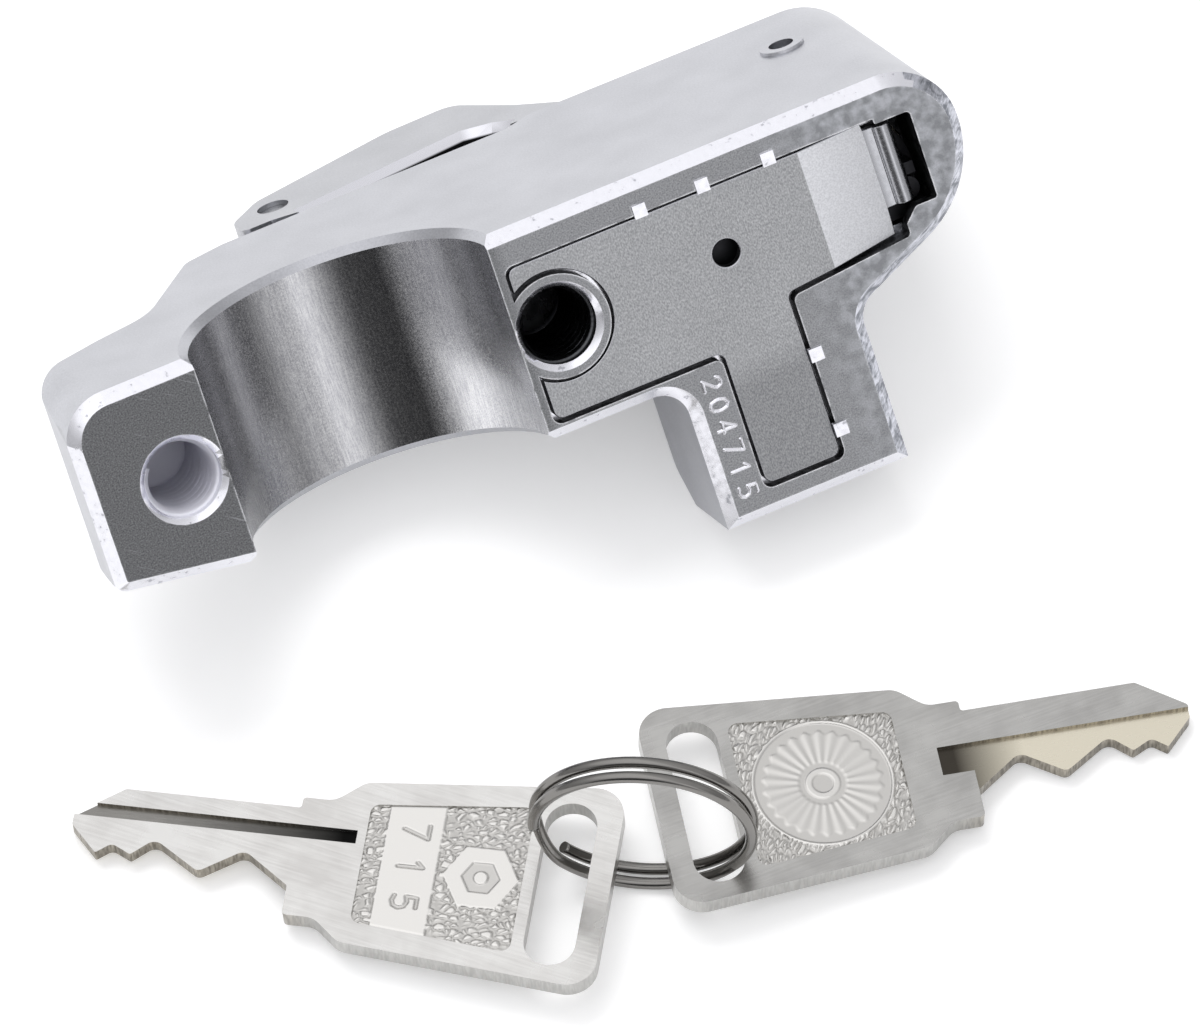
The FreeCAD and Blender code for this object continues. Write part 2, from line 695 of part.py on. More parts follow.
def barrel_pin():
    return rod_y(CYL_X, -BARREL_PIN_DEPTH, BARREL_PIN_RADIUS, -BARREL_PIN_SINK,
                 CYL_Y + BARREL_RADIUS - BARREL_PIN_ENTRY)


def unlocked(shape):
    """Turn a piece of the key plug from its locked place to the place where the bolt is drawn back."""
    shape.rotate(V(CYL_X, CYL_Y, 0), V(0, 0, 1), -PLUG_TURN)
    return shape


def wafer_depths():
    return [WAFER_FIRST - i * WAFER_PITCH for i in range(WAFER_COUNT)]


def cylinder_plug():
    front = -BODY_DEPTH
    plug = disc(CYL_X, CYL_Y, PLUG_RADIUS, -PLUG_BACK, front)
    tail = disc(CYL_X, CYL_Y, TAIL_RADIUS, -TAIL_END, -PLUG_BACK)
    tail = tail.common(box(CYL_X - TAIL_FLATS / 2, CYL_X + TAIL_FLATS / 2, -30, 5, 0, -PLUG_BACK))
    plug = plug.fuse(tail)
    plug = plug.cut(box(CYL_X - KEYWAY_WIDTH / 2, CYL_X + KEYWAY_WIDTH / 2,
                        CYL_Y - KEYWAY_HEIGHT / 2, CYL_Y + KEYWAY_HEIGHT / 2, -PLUG_BACK - 2, front - 1))
    half = WAFER_WIDTH / 2 + WAFER_GAP
    for depth in wafer_depths():
        plug = plug.cut(box(CYL_X - half, CYL_X + half,
                            CYL_Y - WAFER_HEIGHT / 2 - WAFER_TRAVEL - WAFER_GAP,
                            CYL_Y + WAFER_HEIGHT / 2 + WAFER_GAP,
                            -depth - WAFER_THICKNESS / 2 - WAFER_GAP,
                            -depth + WAFER_THICKNESS / 2 + WAFER_GAP))
        spring_x = CYL_X + half
        plug = plug.cut(box(spring_x - WAFER_GAP, spring_x + 2 * WAFER_SPRING_RADIUS + WAFER_GAP,
                            CYL_Y - WAFER_SPRING_FOOT,
                            CYL_Y + WAFER_ARM_LOW + WAFER_ARM_HEIGHT + WAFER_ARM_ROOM,
                            -depth - WAFER_THICKNESS / 2 - WAFER_GAP,
                            -depth + WAFER_THICKNESS / 2 + WAFER_GAP))
    back = -CAM_TOP + CLIP_GAP
    clip_seat = disc(CYL_X, CYL_Y, TAIL_RADIUS + 1, back + CLIP_THICKNESS + CLIP_GAP, back)
    clip_seat = clip_seat.cut(disc(CYL_X, CYL_Y, TAIL_RADIUS - CLIP_GROOVE, 0, -PLUG_BACK))
    return unlocked(plug.cut(clip_seat))


def wafer(depth):
    plate = box(CYL_X - WAFER_WIDTH / 2, CYL_X + WAFER_WIDTH / 2,
                CYL_Y - WAFER_HEIGHT / 2, CYL_Y + WAFER_HEIGHT / 2,
                -depth - WAFER_THICKNESS / 2, -depth + WAFER_THICKNESS / 2)
    window = box(CYL_X - KEYWAY_WIDTH / 2, CYL_X + KEYWAY_WIDTH / 2,
                 CYL_Y - WAFER_WINDOW_LOW, CYL_Y + WAFER_WINDOW_HIGH, -depth - 1, -depth + 1)
    arm_x = CYL_X + WAFER_WIDTH / 2
    arm = box(arm_x - 0.2, arm_x + 2 * WAFER_SPRING_RADIUS,
              CYL_Y + WAFER_ARM_LOW, CYL_Y + WAFER_ARM_LOW + WAFER_ARM_HEIGHT,
              -depth - WAFER_THICKNESS / 2, -depth + WAFER_THICKNESS / 2)
    return unlocked(plate.cut(window).fuse(arm).removeSplitter())


def wafer_spring(depth):
    x = CYL_X + WAFER_WIDTH / 2 + WAFER_GAP + WAFER_SPRING_RADIUS
    end_gap = WAFER_SPRING_WIRE / 2 + SPRING_END_GAP
    low = CYL_Y - WAFER_SPRING_FOOT + end_gap
    pitch = (WAFER_ARM_LOW + WAFER_SPRING_FOOT - 2 * end_gap) / WAFER_SPRING_TURNS
    radius = WAFER_THICKNESS / 2 - WAFER_SPRING_WIRE / 2 - SPRING_END_GAP
    return unlocked(coil(radius, pitch, WAFER_SPRING_TURNS, WAFER_SPRING_WIRE, V(x, low, -depth), V(0, 1, 0)))


def crank_place():
    """The crank pin's centre with the lock locked."""
    angle = math.radians(CRANK_START)
    return CYL_X + CRANK * math.cos(angle), CYL_Y + CRANK * math.sin(angle)


def cam():
    x, y = crank_place()
    plate = disc(CYL_X, CYL_Y, CAM_RADIUS, -CAM_TOP, -CAM_TOP - CAM_THICKNESS)
    hole = disc(CYL_X, CYL_Y, TAIL_RADIUS + RUNNING_GAP, 0, -PLUG_BACK)
    half = TAIL_FLATS / 2 + RUNNING_GAP
    hole = hole.common(box(CYL_X - half, CYL_X + half, -30, 5, 0, -PLUG_BACK))
    pin = disc(x, y, CRANK_RADIUS, -BOLT_BACK, -CAM_TOP - 1)
    return unlocked(plate.cut(hole).fuse(pin))


def cam_clip():
    back = -CAM_TOP + CLIP_GAP
    clip = disc(CYL_X, CYL_Y, CLIP_RADIUS, back + CLIP_THICKNESS, back)
    clip = clip.cut(disc(CYL_X, CYL_Y, TAIL_RADIUS - CLIP_GROOVE + CLIP_GAP, 0, -PLUG_BACK))
    return unlocked(clip.cut(box(CYL_X - CLIP_OPENING / 2, CYL_X + CLIP_OPENING / 2, CYL_Y, CYL_Y - 10,
                                 0, -PLUG_BACK)))


def latch_bolt():
    left = STEM_CENTRE_X - STEM_WIDTH / 2 + SLIDE_GAP
    right = STEM_CENTRE_X + STEM_WIDTH / 2 - SLIDE_GAP
    nose_front = BOLT_NOSE_DEPTH
    nose_back = nose_front - BOLT_NOSE_THICKNESS
    x, y = crank_place()
    arm_low = y - BOLT_ARM_HEIGHT / 2
    arm_high = y + BOLT_ARM_HEIGHT / 2
    arm_front = BOLT_BACK + BOLT_ARM_THICKNESS
    stem = box(left, right, BOLT_STEM_TOP, BOLT_STEM_BOTTOM, -BOLT_BACK, -STEM_DEPTH + SLIDE_GAP)
    web = box(left, right, arm_high, BOLT_WEB_BOTTOM, -BOLT_BACK, -nose_front)
    flank = box(BOLT_NOSE_LEFT, right, arm_high, BOLT_WEB_BOTTOM, -BOLT_BACK, -TIP_BACK + BOLT_ROOM)
    nose = box(BOLT_NOSE_LEFT, right, BOLT_NOSE_TOP, BOLT_NOSE_BOTTOM, -nose_back, -nose_front)
    arm = box(left, BOLT_ARM_RIGHT, arm_low, arm_high, -BOLT_BACK, -arm_front)
    bolt = stem.fuse([web, flank, nose, arm]).removeSplitter()
    bolt = bolt.cut(box(BOLT_NOSE_LEFT - 1, right + 1, BOLT_NOSE_TOP, 0,
                        -arm_front - 1, -nose_front - 1))
    reach = CRANK * (1 - math.cos(math.radians(CRANK_START))) + CRANK_RADIUS + CRANK_GAP
    slot = box(x - CRANK_RADIUS - CRANK_GAP, x + reach, y - CRANK_RADIUS - CRANK_GAP,
               y + CRANK_RADIUS + CRANK_GAP, 0, -arm_front - 1)
    bolt = bolt.cut(slot).removeSplitter()
    bolt.translate(V(0, -BOLT_TRAVEL, 0))
    return bolt


def latch_spring():
    end_gap = LATCH_SPRING_WIRE / 2 + LATCH_SPRING_END_GAP
    low = -STEM_REACH + end_gap
    high = BOLT_STEM_BOTTOM - BOLT_TRAVEL - end_gap
    middle = -(BOLT_BACK + STEM_DEPTH - SLIDE_GAP) / 2
    pitch = (high - low) / LATCH_SPRING_TURNS
    return coil(LATCH_SPRING_RADIUS, pitch, LATCH_SPRING_TURNS, LATCH_SPRING_WIRE,
                V(STEM_CENTRE_X, low, middle), V(0, 1, 0))


def hook_edge_bevel(points):
    """What is cut away for the bevel along a line of (x, z) points on the hook's top face."""
    normals = []
    for (x0, z0), (x1, z1) in zip(points, points[1:]):
        normals.append(V(z1 - z0, 0, x0 - x1).normalize())
    sections = []
    for i, (x, z) in enumerate(points):
        before = normals[max(i - 1, 0)]
        after = normals[min(i, len(normals) - 1)]
        into = (before + after) * (1 / (1 + before.dot(after)))
        edge = V(x, HOOK_TOP, z)
        up = V(0, 1, 0)
        sections.append(Part.makePolygon([
            edge + into * (HOOK_EDGE_BEVEL + 1) + up,
            edge - into + up,
            edge - into - up * (HOOK_EDGE_BEVEL + 1),
            edge + into * (HOOK_EDGE_BEVEL + 1) + up,
        ]))
    return Part.makeLoft(sections, True, True)


def hook_lever():
    tip_front = -BODY_DEPTH - TIP_ROOT
    tail = PIVOT_X - HOOK_TAIL
    tail_back = -PIVOT_DEPTH + HOOK_TAIL_BACK
    shape = slab_y([
        (tail, tail_back, 1.0),
        (tail, -PIVOT_DEPTH + HOOK_TAIL_FRONT, 3.0),
        (PIVOT_X - EYE_LEFT, -PIVOT_DEPTH - EYE_FRONT, 3.0),
        (HOOK_CREST_START, -HOOK_CREST_DEPTH + HOOK_CREST_FALL, 8.0),
        (HOOK_CREST_END, -HOOK_CREST_DEPTH, 2.5),
        (HOOK_SHOULDER_X, -HOOK_SHOULDER_DEPTH, 4.0),
        (PIVOT_X + TIP_OUTER + TIP_SHOULDER, tip_front, 0.5),
        (PIVOT_X + TIP_INNER - TIP_SHOULDER, tip_front, 0.5),
        (HOOK_GAP_END + HOOK_GAP_CORNER, -HOOK_GAP_DEPTH + HOOK_GAP_RISE, 1.2),
        (HOOK_GAP_END, -HOOK_GAP_DEPTH, 3.0),
        (HOOK_RAISE_X, -HOOK_RAISE_DEPTH, 1.0),
        (tail + HOOK_HEEL, tail_back, 1.0),
    ], HOOK_TOP, HOOK_BOTTOM)
    shape = shape.cut(hook_edge_bevel([
        (HOOK_RAISE_X, -HOOK_RAISE_DEPTH),
        (HOOK_GAP_END, -HOOK_GAP_DEPTH),
        (HOOK_GAP_END + HOOK_GAP_CORNER, -HOOK_GAP_DEPTH + HOOK_GAP_RISE),
        (PIVOT_X + TIP_INNER - TIP_SHOULDER, tip_front),
    ]))
    tip = hook_sector(TIP_OUTER, TIP_INNER, TIP_TOP, HOOK_BOTTOM, TIP_BACK)
    lever = shape.fuse(tip)

    # Gap between the two prongs for the body's ear and the spring
    lever = lever.cut(box(PIVOT_X - 10, PIVOT_X + HOOK_SLOT_END, HOOK_TOP - PRONG, HOOK_BOTTOM + PRONG,
                          0, -HOOK_CREST_DEPTH - 5))
    lever = lever.cut(rod_y(PIVOT_X, -PIVOT_DEPTH, PIVOT_RADIUS + RUNNING_GAP, 5, -20))

    # Notch that the bolt's nose rises into
    nose_back = BOLT_NOSE_DEPTH - BOLT_NOSE_THICKNESS
    lever = lever.cut(box(HOOK_CREST_START, PIVOT_X + TIP_OUTER + 5, HOOK_BOTTOM - 1,
                          BOLT_NOSE_TOP + SIDE_GAP, -nose_back + SIDE_GAP, -BOLT_NOSE_DEPTH - SIDE_GAP))
    return lever.cut(below_rest_plane(HOOK_FLOOR_GAP)).removeSplitter()


def hook_pivot_pin():
    return rod_y(PIVOT_X, -PIVOT_DEPTH, PIVOT_RADIUS, HOOK_TOP - PIN_SINK, HOOK_BOTTOM + PIN_SINK)


def hook_spring():
    radius = PIVOT_RADIUS + HOOK_SPRING_ROOM + HOOK_SPRING_WIRE / 2
    low = HOOK_BOTTOM + PRONG + HOOK_SPRING_LIFT
    return coil(radius, HOOK_SPRING_PITCH, HOOK_SPRING_TURNS, HOOK_SPRING_WIRE,
                V(PIVOT_X, low, -PIVOT_DEPTH), V(0, 1, 0))


def key_cover():
    back = -BODY_DEPTH - COVER_GAP
    front = back - COVER_THICKNESS
    cover = disc(CYL_X, COVER_DISC_Y, COVER_DISC_RADIUS, back, front)
    cover = cover.fuse(disc(COVER_PIVOT_X, COVER_PIVOT_Y, COVER_BOSS_RADIUS, back, front))
    bridge = box(COVER_PIVOT_X, CYL_X, COVER_PIVOT_Y - COVER_BOSS_RADIUS,
                 COVER_PIVOT_Y - COVER_BOSS_RADIUS + COVER_BRIDGE_HEIGHT, back, front)
    tab = box(CYL_X, CYL_X + COVER_TAB_WIDTH, COVER_TAB_TOP, COVER_DISC_Y + COVER_DISC_RADIUS / 2,
              back, front - COVER_TAB_STEP)
    cover = cover.fuse([bridge, tab]).removeSplitter()
    return cover.cut(disc(COVER_PIVOT_X, COVER_PIVOT_Y, RIVET_RADIUS + RUNNING_GAP, 0, front - 2))


def cover_rivet():
    head_back = -BODY_DEPTH - COVER_GAP - COVER_THICKNESS - RIVET_HEAD_GAP
    shank_end = -BODY_DEPTH + RIVET_DEPTH - RIVET_END_GAP
    shank = disc(COVER_PIVOT_X, COVER_PIVOT_Y, RIVET_RADIUS, shank_end, head_back)
    head = disc(COVER_PIVOT_X, COVER_PIVOT_Y, RIVET_HEAD_RADIUS, head_back, head_back - RIVET_HEAD)
    return shank.fuse(head)


def key_blank():
    """A key lying flat: x from the tip of the blade to the end of the bow."""
    neck = NECK_WIDTH / 2
    start = BOW_WIDTH_START / 2
    end = BOW_WIDTH_END / 2
    blade_cuts = [(x, BLADE_BACK - depth, radius) for x, depth, radius in KEY_CUTS]
    blank = slab([
        (0, BLADE_BACK - KEY_POINT_DROP, 0.4),
        (KEY_POINT_RUN, BLADE_BACK, 0.6),
        (BLADE_LENGTH, BLADE_BACK, 0.3),
        (BLADE_LENGTH, neck, 0.4),
        (NECK_END, neck, NECK_SHOULDER_ROUND),
        (BOW_START, start, NECK_SHOULDER_ROUND),
        (KEY_LENGTH, end, BOW_ROUND),
        (KEY_LENGTH, -end, BOW_ROUND),
        (BOW_START, -start, NECK_SHOULDER_ROUND),
        (NECK_END, -neck, NECK_SHOULDER_ROUND),
        (BLADE_LENGTH, -neck, 0.5),
        (BLADE_LENGTH, BLADE_BACK - BLADE_ROOT, 0.3),
    ] + blade_cuts + [
        (0, BLADE_BACK - KEY_POINT_DROP - KEY_POINT_HEIGHT, 0.4),
    ], 0, KEY_THICKNESS)
    slot_end = KEY_LENGTH - KEY_STRIP
    round_ = KEY_SLOT_WIDTH / 2 - 0.02
    half = KEY_SLOT_LENGTH / 2
    slot = slab([
        (slot_end - KEY_SLOT_WIDTH, -half, round_),
        (slot_end, -half, round_),
        (slot_end, half, round_),
        (slot_end - KEY_SLOT_WIDTH, half, round_),
    ], -1, KEY_THICKNESS + 1)
    blank = blank.cut(slot)

    # Narrow groove milled along one face, and a wide flank along the other
    groove_top = BLADE_BACK - KEY_GROOVE_FROM_BACK
    flank_top = BLADE_BACK - KEY_FLANK_FROM_BACK
    blank = blank.cut(box(-1, BOW_START, groove_top - KEY_GROOVE_WIDTH, groove_top,
                          KEY_THICKNESS - KEY_GROOVE_DEPTH, KEY_THICKNESS + 1))
    blank = blank.cut(box(-1, BLADE_LENGTH, BLADE_BACK - BLADE_ROOT, flank_top, -1, KEY_GROOVE_DEPTH))
    blank = blank.cut(box(-1, NECK_END, flank_top - KEY_FLANK_HEIGHT, flank_top, -1, KEY_GROOVE_DEPTH))

    # Shallow panel on both faces of the bow
    panel_end = slot_end - KEY_SLOT_WIDTH - PANEL_FROM_SLOT
    panel_start = panel_end - PANEL_LENGTH
    low_start = start - PANEL_MARGIN
    low_end = end - PANEL_MARGIN - PANEL_TAPER
    panel_corners = [
        (panel_start, -low_start, 1.0),
        (panel_end, -low_end, 1.0),
        (panel_end, low_end, 1.0),
        (panel_start, low_start, 1.0),
    ]
    blank = blank.cut(slab(panel_corners, KEY_THICKNESS - PANEL_DEPTH, KEY_THICKNESS + 1))
    return blank.cut(slab(panel_corners, -1, PANEL_DEPTH))


def key_height(from_ring):
    """Underside of the strip, just clear of the ring that passes below it."""
    inner = RING_RADIUS - RING_WIRE
    reach = from_ring + KEY_STRIP / 2
    return RING_RADIUS - math.sqrt(inner ** 2 - reach ** 2) + KEY_CLEAR_OF_RING


def key_on_ring(side, from_ring, yaw, shift):
    """A key whose tip lies on the table and whose strip lies on the ring."""
    key = key_blank()
    if side > 0:
        key.rotate(V(0, 0, 0), V(1, 0, 0), 180)
        key.translate(V(0, 0, KEY_THICKNESS))
        key.rotate(V(0, 0, 0), V(0, 0, 1), 180)
    strip = KEY_LENGTH - KEY_STRIP / 2
    key.translate(V(-strip if side < 0 else strip, shift, 0))
    height = key_height(from_ring)
    tilt = math.degrees(math.asin(height / KEY_LENGTH))
    key.rotate(V(0, 0, 0), V(0, 1, 0), tilt * side)
    key.translate(V(0, 0, height))
    key.rotate(V(0, 0, 0), V(0, 0, 1), yaw)
    along = V(math.cos(math.radians(RING_YAW)), math.sin(math.radians(RING_YAW)), 0)
    place = V(RING_PLACE[0], RING_PLACE[1], 0) + along * (from_ring * side)
    key.translate(place)
    return key


def split_ring():
    """Two flat turns side by side, with a short step from one to the other."""
    step = RING_WIRE + RING_TURN_GAP
    radius = RING_RADIUS - RING_WIRE / 2
    flat = 360 - RING_STEP_ANGLE
    stations = [(flat * i / 4, -step / 2, 0) for i in range(5)]
    stations += [(360 + flat * i / 4, step / 2, 0) for i in range(5)]
    tube = wound(radius, RING_WIRE, stations)
    normal = V(-math.sin(math.radians(RING_YAW)), math.cos(math.radians(RING_YAW)), 0)
    centre = V(RING_PLACE[0], RING_PLACE[1], RING_RADIUS)
    tube.rotate(V(0, 0, 0), V(0, 0, 1), RING_TURNED)
    tube.Placement = FreeCAD.Placement(centre, FreeCAD.Rotation(V(0, 0, 1), normal)).multiply(tube.Placement)
    return tube


def laid_down(shape):
    """Turn a piece of the lock to the way it lies on the table."""
    turned = shape.copy()
    turned.rotate(V(0, 0, 0), V(1, 0, 0), 90 - REST_TILT)
    turned.translate(V(-TUBE_RADIUS, 0, REST_HEIGHT))
    return turned


lock = {
    "body_casting": body_casting(),
    "cover_plate": cover_plate(),
    "cylinder_barrel": cylinder_barrel(),
    "face_ring": face_ring(),
    "barrel_pin": barrel_pin(),
    "cylinder_plug": cylinder_plug(),
    "cam": cam(),
    "cam_clip": cam_clip(),
    "latch_bolt": latch_bolt(),
    "latch_spring": latch_spring(),
    "hook_lever": hook_lever(),
    "hook_pivot_pin": hook_pivot_pin(),
    "hook_spring": hook_spring(),
    "key_cover": key_cover(),
    "cover_rivet": cover_rivet(),
}
for number, depth in enumerate(wafer_depths(), 1):
    lock["wafer_%d" % number] = wafer(depth)
    lock["wafer_spring_%d" % number] = wafer_spring(depth)

pieces = {name: laid_down(shape) for name, shape in lock.items()}
pieces["split_ring"] = split_ring()
pieces["key_1"] = key_on_ring(-1, KEY_1_FROM_RING, KEY_1_YAW, KEY_1_SHIFT)
pieces["key_2"] = key_on_ring(1, KEY_2_FROM_RING, KEY_2_YAW, KEY_2_SHIFT)

# The origin is under the middle of everything, on the table
whole = FreeCAD.BoundBox()
for shape in pieces.values():
    whole.add(shape.BoundBox)
shift = V(-whole.Center.x, -whole.Center.y, 0)
print("shift", shift)

os.makedirs("parts", exist_ok=True)
for name, shape in pieces.items():
    shape.translate(shift)
    print(name, "solids", len(shape.Solids), "valid", shape.isValid(), "volume", round(shape.Volume, 1))
    shape.exportStep("parts/%s.step" % name)
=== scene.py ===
import bmesh
import bpy
import json
import math
from mathutils import Matrix, Vector, noise


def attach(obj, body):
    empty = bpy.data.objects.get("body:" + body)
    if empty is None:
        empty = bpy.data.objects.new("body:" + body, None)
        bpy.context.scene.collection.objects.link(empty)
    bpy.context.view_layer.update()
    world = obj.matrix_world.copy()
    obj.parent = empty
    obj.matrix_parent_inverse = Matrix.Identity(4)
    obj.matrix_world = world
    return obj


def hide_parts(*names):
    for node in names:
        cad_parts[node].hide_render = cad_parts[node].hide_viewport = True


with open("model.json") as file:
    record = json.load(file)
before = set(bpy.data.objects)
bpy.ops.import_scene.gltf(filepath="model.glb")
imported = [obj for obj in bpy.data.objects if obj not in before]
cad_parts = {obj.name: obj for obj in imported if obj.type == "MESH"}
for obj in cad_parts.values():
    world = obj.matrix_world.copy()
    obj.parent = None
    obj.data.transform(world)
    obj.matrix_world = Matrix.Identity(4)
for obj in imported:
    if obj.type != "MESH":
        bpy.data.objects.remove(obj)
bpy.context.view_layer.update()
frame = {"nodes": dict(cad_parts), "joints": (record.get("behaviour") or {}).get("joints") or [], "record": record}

# A die-cast helmet lock, chrome plated, lying on its front edge, with two keys on a split ring.
# Sizes are in millimetres and turn to metres where a mesh is made.
MM = 0.001
MOUNTS = {mount["name"]: mount for mount in frame["record"]["mounts"]}
JOINTS = {joint["name"]: joint for joint in frame["joints"]}

# The lock's own axes: x along it, y along the tube it clamps to, z out of its mounting face
SADDLE_RADIUS = MOUNTS["tube_saddle"]["dims"]["r_mm"]
SADDLE_MIDDLE = (0.0, -11.2, 0.4)
BOLT_HOLES = ((-20.4, -11.4), (20.4, -11.4))
BOLT_HOLE_RADIUS = MOUNTS["bolt_hole_left"]["dims"]["r_mm"]
BOLT_HOLE_SINK = 0.6
NOSE_SIDE = (54.4, -7.3, 11.4)
NOSE_UNDERSIDE = (0.416, -0.909, 40.6)
PLATE_LEFT = 16.8
PLATE_BEND_X = 48.9
PLATE_LIP_X = 56.4
LEG_STRIP_X = 33.2
LEG_STRIP_TOP = -22.4
LEG_NUMBER = "204715"
LEG_DIGIT_HEIGHT = 1.9
LEG_DIGIT_STEP = 2.35
LEG_NUMBER_HALF_WIDTH = 1.4
LEG_NUMBER_HALF_LENGTH = 7.6
LEG_NUMBER_CELL = 0.07

# Keys, in their own axes: x from the tip of the blade, z through the thickness
KEY_THICKNESS = 2.1
KEY_LENGTH = 54.4
KEY_STRIP = 2.4
PANEL_START = 29.3
PANEL_END = 45.6
PANEL_HALF_START = 6.7
PANEL_HALF_END = 8.3
PANEL_DEPTH = 0.3
BAND_START = 31.2
BAND_END = 36.9
PANEL_CELL = 0.09
KEY_NUMBER = "715"
KEY_NUMBER_START = 32.4
KEY_NUMBER_END = 36.2
HEXAGON_MIDDLE = (41.4, -0.2)
ROSETTE_MIDDLE_X = 37.5
# Groove floor: from x, to x, colour at the tip end, colour at the bow end; the darkening towards the bow is
# painted shade.
GROOVE_PAINTED_SHADE_STOPS = (8.0, 27.0, "8E8C88", "141414")
# Flank floor: from x, to x, a painted warm highlight at the tip end, painted shade at the neck.
FLANK_PAINTED_LIGHT_STOPS = (17.0, 24.0, "E6DFCC", "45413B")

# Tapped holes
THREAD_PITCH = 1.25
THREAD_TURNS = 8.6
THREAD_RIDGE = 0.62
THREAD_DEPTH = 11.4

# Split ring and how each key lies on it: side, distance from the ring's middle, yaw, shift
RING_RADIUS = 11.4
RING_WIRE = 1.2
RING_TURN_GAP = 0.45
RING_STEP_ANGLE = 40.0
RING_TURNED = 150.0
RING_YAW = -28.6
KEY_CLEAR_OF_RING = 0.45
KEYS = {"key_1": (-1, 3.8, -34.0, -4.1), "key_2": (1, 3.4, -13.2, 5.7)}


def lock_matrix():
    """From the lock's millimetres to the row's metres."""
    y = Vector(MOUNTS["tube_saddle"]["axis"])
    z = Vector(MOUNTS["bolt_hole_left"]["axis"])
    turn_mm = Matrix((y.cross(z), y, z)).transposed().to_4x4() @ Matrix.Scale(MM, 4)
    place = Vector(MOUNTS["tube_saddle"]["pos_m"]) - turn_mm @ Vector(SADDLE_MIDDLE)
    return Matrix.Translation(place) @ turn_mm


def key_matrix(name):
    """From a key's millimetres to the row's metres."""
    side, from_ring, yaw, shift = KEYS[name]
    inner = RING_RADIUS - RING_WIRE
    height = RING_RADIUS - math.sqrt(inner ** 2 - (from_ring + KEY_STRIP / 2) ** 2) + KEY_CLEAR_OF_RING
    strip = KEY_LENGTH - KEY_STRIP / 2
    own = Matrix.Identity(4)
    if side > 0:
        own = (Matrix.Rotation(math.pi, 4, "Z") @ Matrix.Translation((0, 0, KEY_THICKNESS))
               @ Matrix.Rotation(math.pi, 4, "X"))
    own = Matrix.Translation((strip * side, shift, 0)) @ own
    own = Matrix.Rotation(math.asin(height / KEY_LENGTH) * side, 4, "Y") @ own
    own = Matrix.Rotation(math.radians(yaw), 4, "Z") @ Matrix.Translation((0, 0, height)) @ own
    along = Vector((math.cos(math.radians(RING_YAW)), math.sin(math.radians(RING_YAW)), 0))
    ring = Vector(JOINTS["key_1_turn"]["pos_m"]) / MM
    place = Vector((ring.x, ring.y, 0)) + along * from_ring * side
    return Matrix.Scale(MM, 4) @ Matrix.Translation(place) @ own


LOCK = lock_matrix()

# The noise functions start from the clock unless they are given a seed
PEBBLE_SEED = 7
noise.seed_set(PEBBLE_SEED)


# Materials

def srgb(code):
    """A hex colour as linear red, green, blue and alpha."""
    parts = [int(code[i:i + 2], 16) / 255 for i in (0, 2, 4)]
    return [c / 12.92 if c <= 0.04045 else ((c + 0.055) / 1.055) ** 2.4 for c in parts] + [1.0]


def add(tree, kind, settings=None, links=None):
    """A node with its settings, and links into its sockets by name or number."""
    node = tree.nodes.new(kind)
    for name, value in (settings or {}).items():
        if isinstance(name, str) and hasattr(node, name):
            setattr(node, name, value)
        else:
            node.inputs[name].default_value = value
    for name, source in (links or {}).items():
        tree.links.new(source, node.inputs[name])
    return node


def start(name, base, metallic, roughness):
    """A new material with its Principled shader: the material, its tree and the shader."""
    material = bpy.data.materials.new(name)
    material.use_nodes = True
    tree = material.node_tree
    tree.nodes.clear()
    shader = add(tree, "ShaderNodeBsdfPrincipled",
                 {"Base Color": srgb(base), "Metallic": metallic, "Roughness": roughness})
    add(tree, "ShaderNodeOutputMaterial", None, {"Surface": shader.outputs["BSDF"]})
    return material, tree, shader


def own_place(tree, matrix):
    """Object coordinates in the millimetres of the lock or of a key."""
    back = matrix.inverted()
    return add(tree, "ShaderNodeMapping",
               {"Location": back.translation, "Rotation": back.to_euler(), "Scale": [1 / MM] * 3},
               {"Vector": add(tree, "ShaderNodeTexCoord").outputs["Object"]}).outputs["Vector"]


def stretched(tree, place, scale, turn=0.0):
    """A place turned by degrees about z and then scaled along each axis."""
    turned = add(tree, "ShaderNodeMapping", {"Rotation": (0, 0, math.radians(turn))}, {"Vector": place})
    return add(tree, "ShaderNodeMapping", {"Scale": scale}, {"Vector": turned.outputs[0]}).outputs["Vector"]


def split(tree, place):
    return add(tree, "ShaderNodeSeparateXYZ", None, {0: place}).outputs


def grain(tree, place, size_mm, detail=2.0, distortion=0.0):
    """Noise from 0 to 1 whose lumps are about size_mm across."""
    return add(tree, "ShaderNodeTexNoise",
               {"Scale": 1 / size_mm, "Detail": detail, "Distortion": distortion},
               {"Vector": place}).outputs["Fac"]


def spread(tree, value, low, high, to_low, to_high):
    """A value from low to high, mapped to to_low to to_high."""
    return add(tree, "ShaderNodeMapRange",
               {"From Min": low, "From Max": high, "To Min": to_low, "To Max": to_high},
               {"Value": value}).outputs["Result"]


def blend_colour(tree, factor, dark, pale):
    node = add(tree, "ShaderNodeMix", {"data_type": "RGBA"}, {0: factor})
    for index, colour in ((6, dark), (7, pale)):
        if isinstance(colour, str):
            node.inputs[index].default_value = srgb(colour)
        else:
            tree.links.new(colour, node.inputs[index])
    return node.outputs[2]


def calc(tree, operation, first, second=None, third=None):
    """A math node on numbers or sockets."""
    node = add(tree, "ShaderNodeMath", {"operation": operation})
    for index, value in enumerate((first, second, third)):
        if value is None:
            continue
        if isinstance(value, (int, float)):
            node.inputs[index].default_value = value
        else:
            tree.links.new(value, node.inputs[index])
    return node.outputs[0]


def bump(tree, shader, height, depth_mm, strength):
    node = add(tree, "ShaderNodeBump",
               {"Strength": strength, "Distance": depth_mm * MM}, {"Height": height})
    tree.links.new(node.outputs["Normal"], shader.inputs["Normal"])


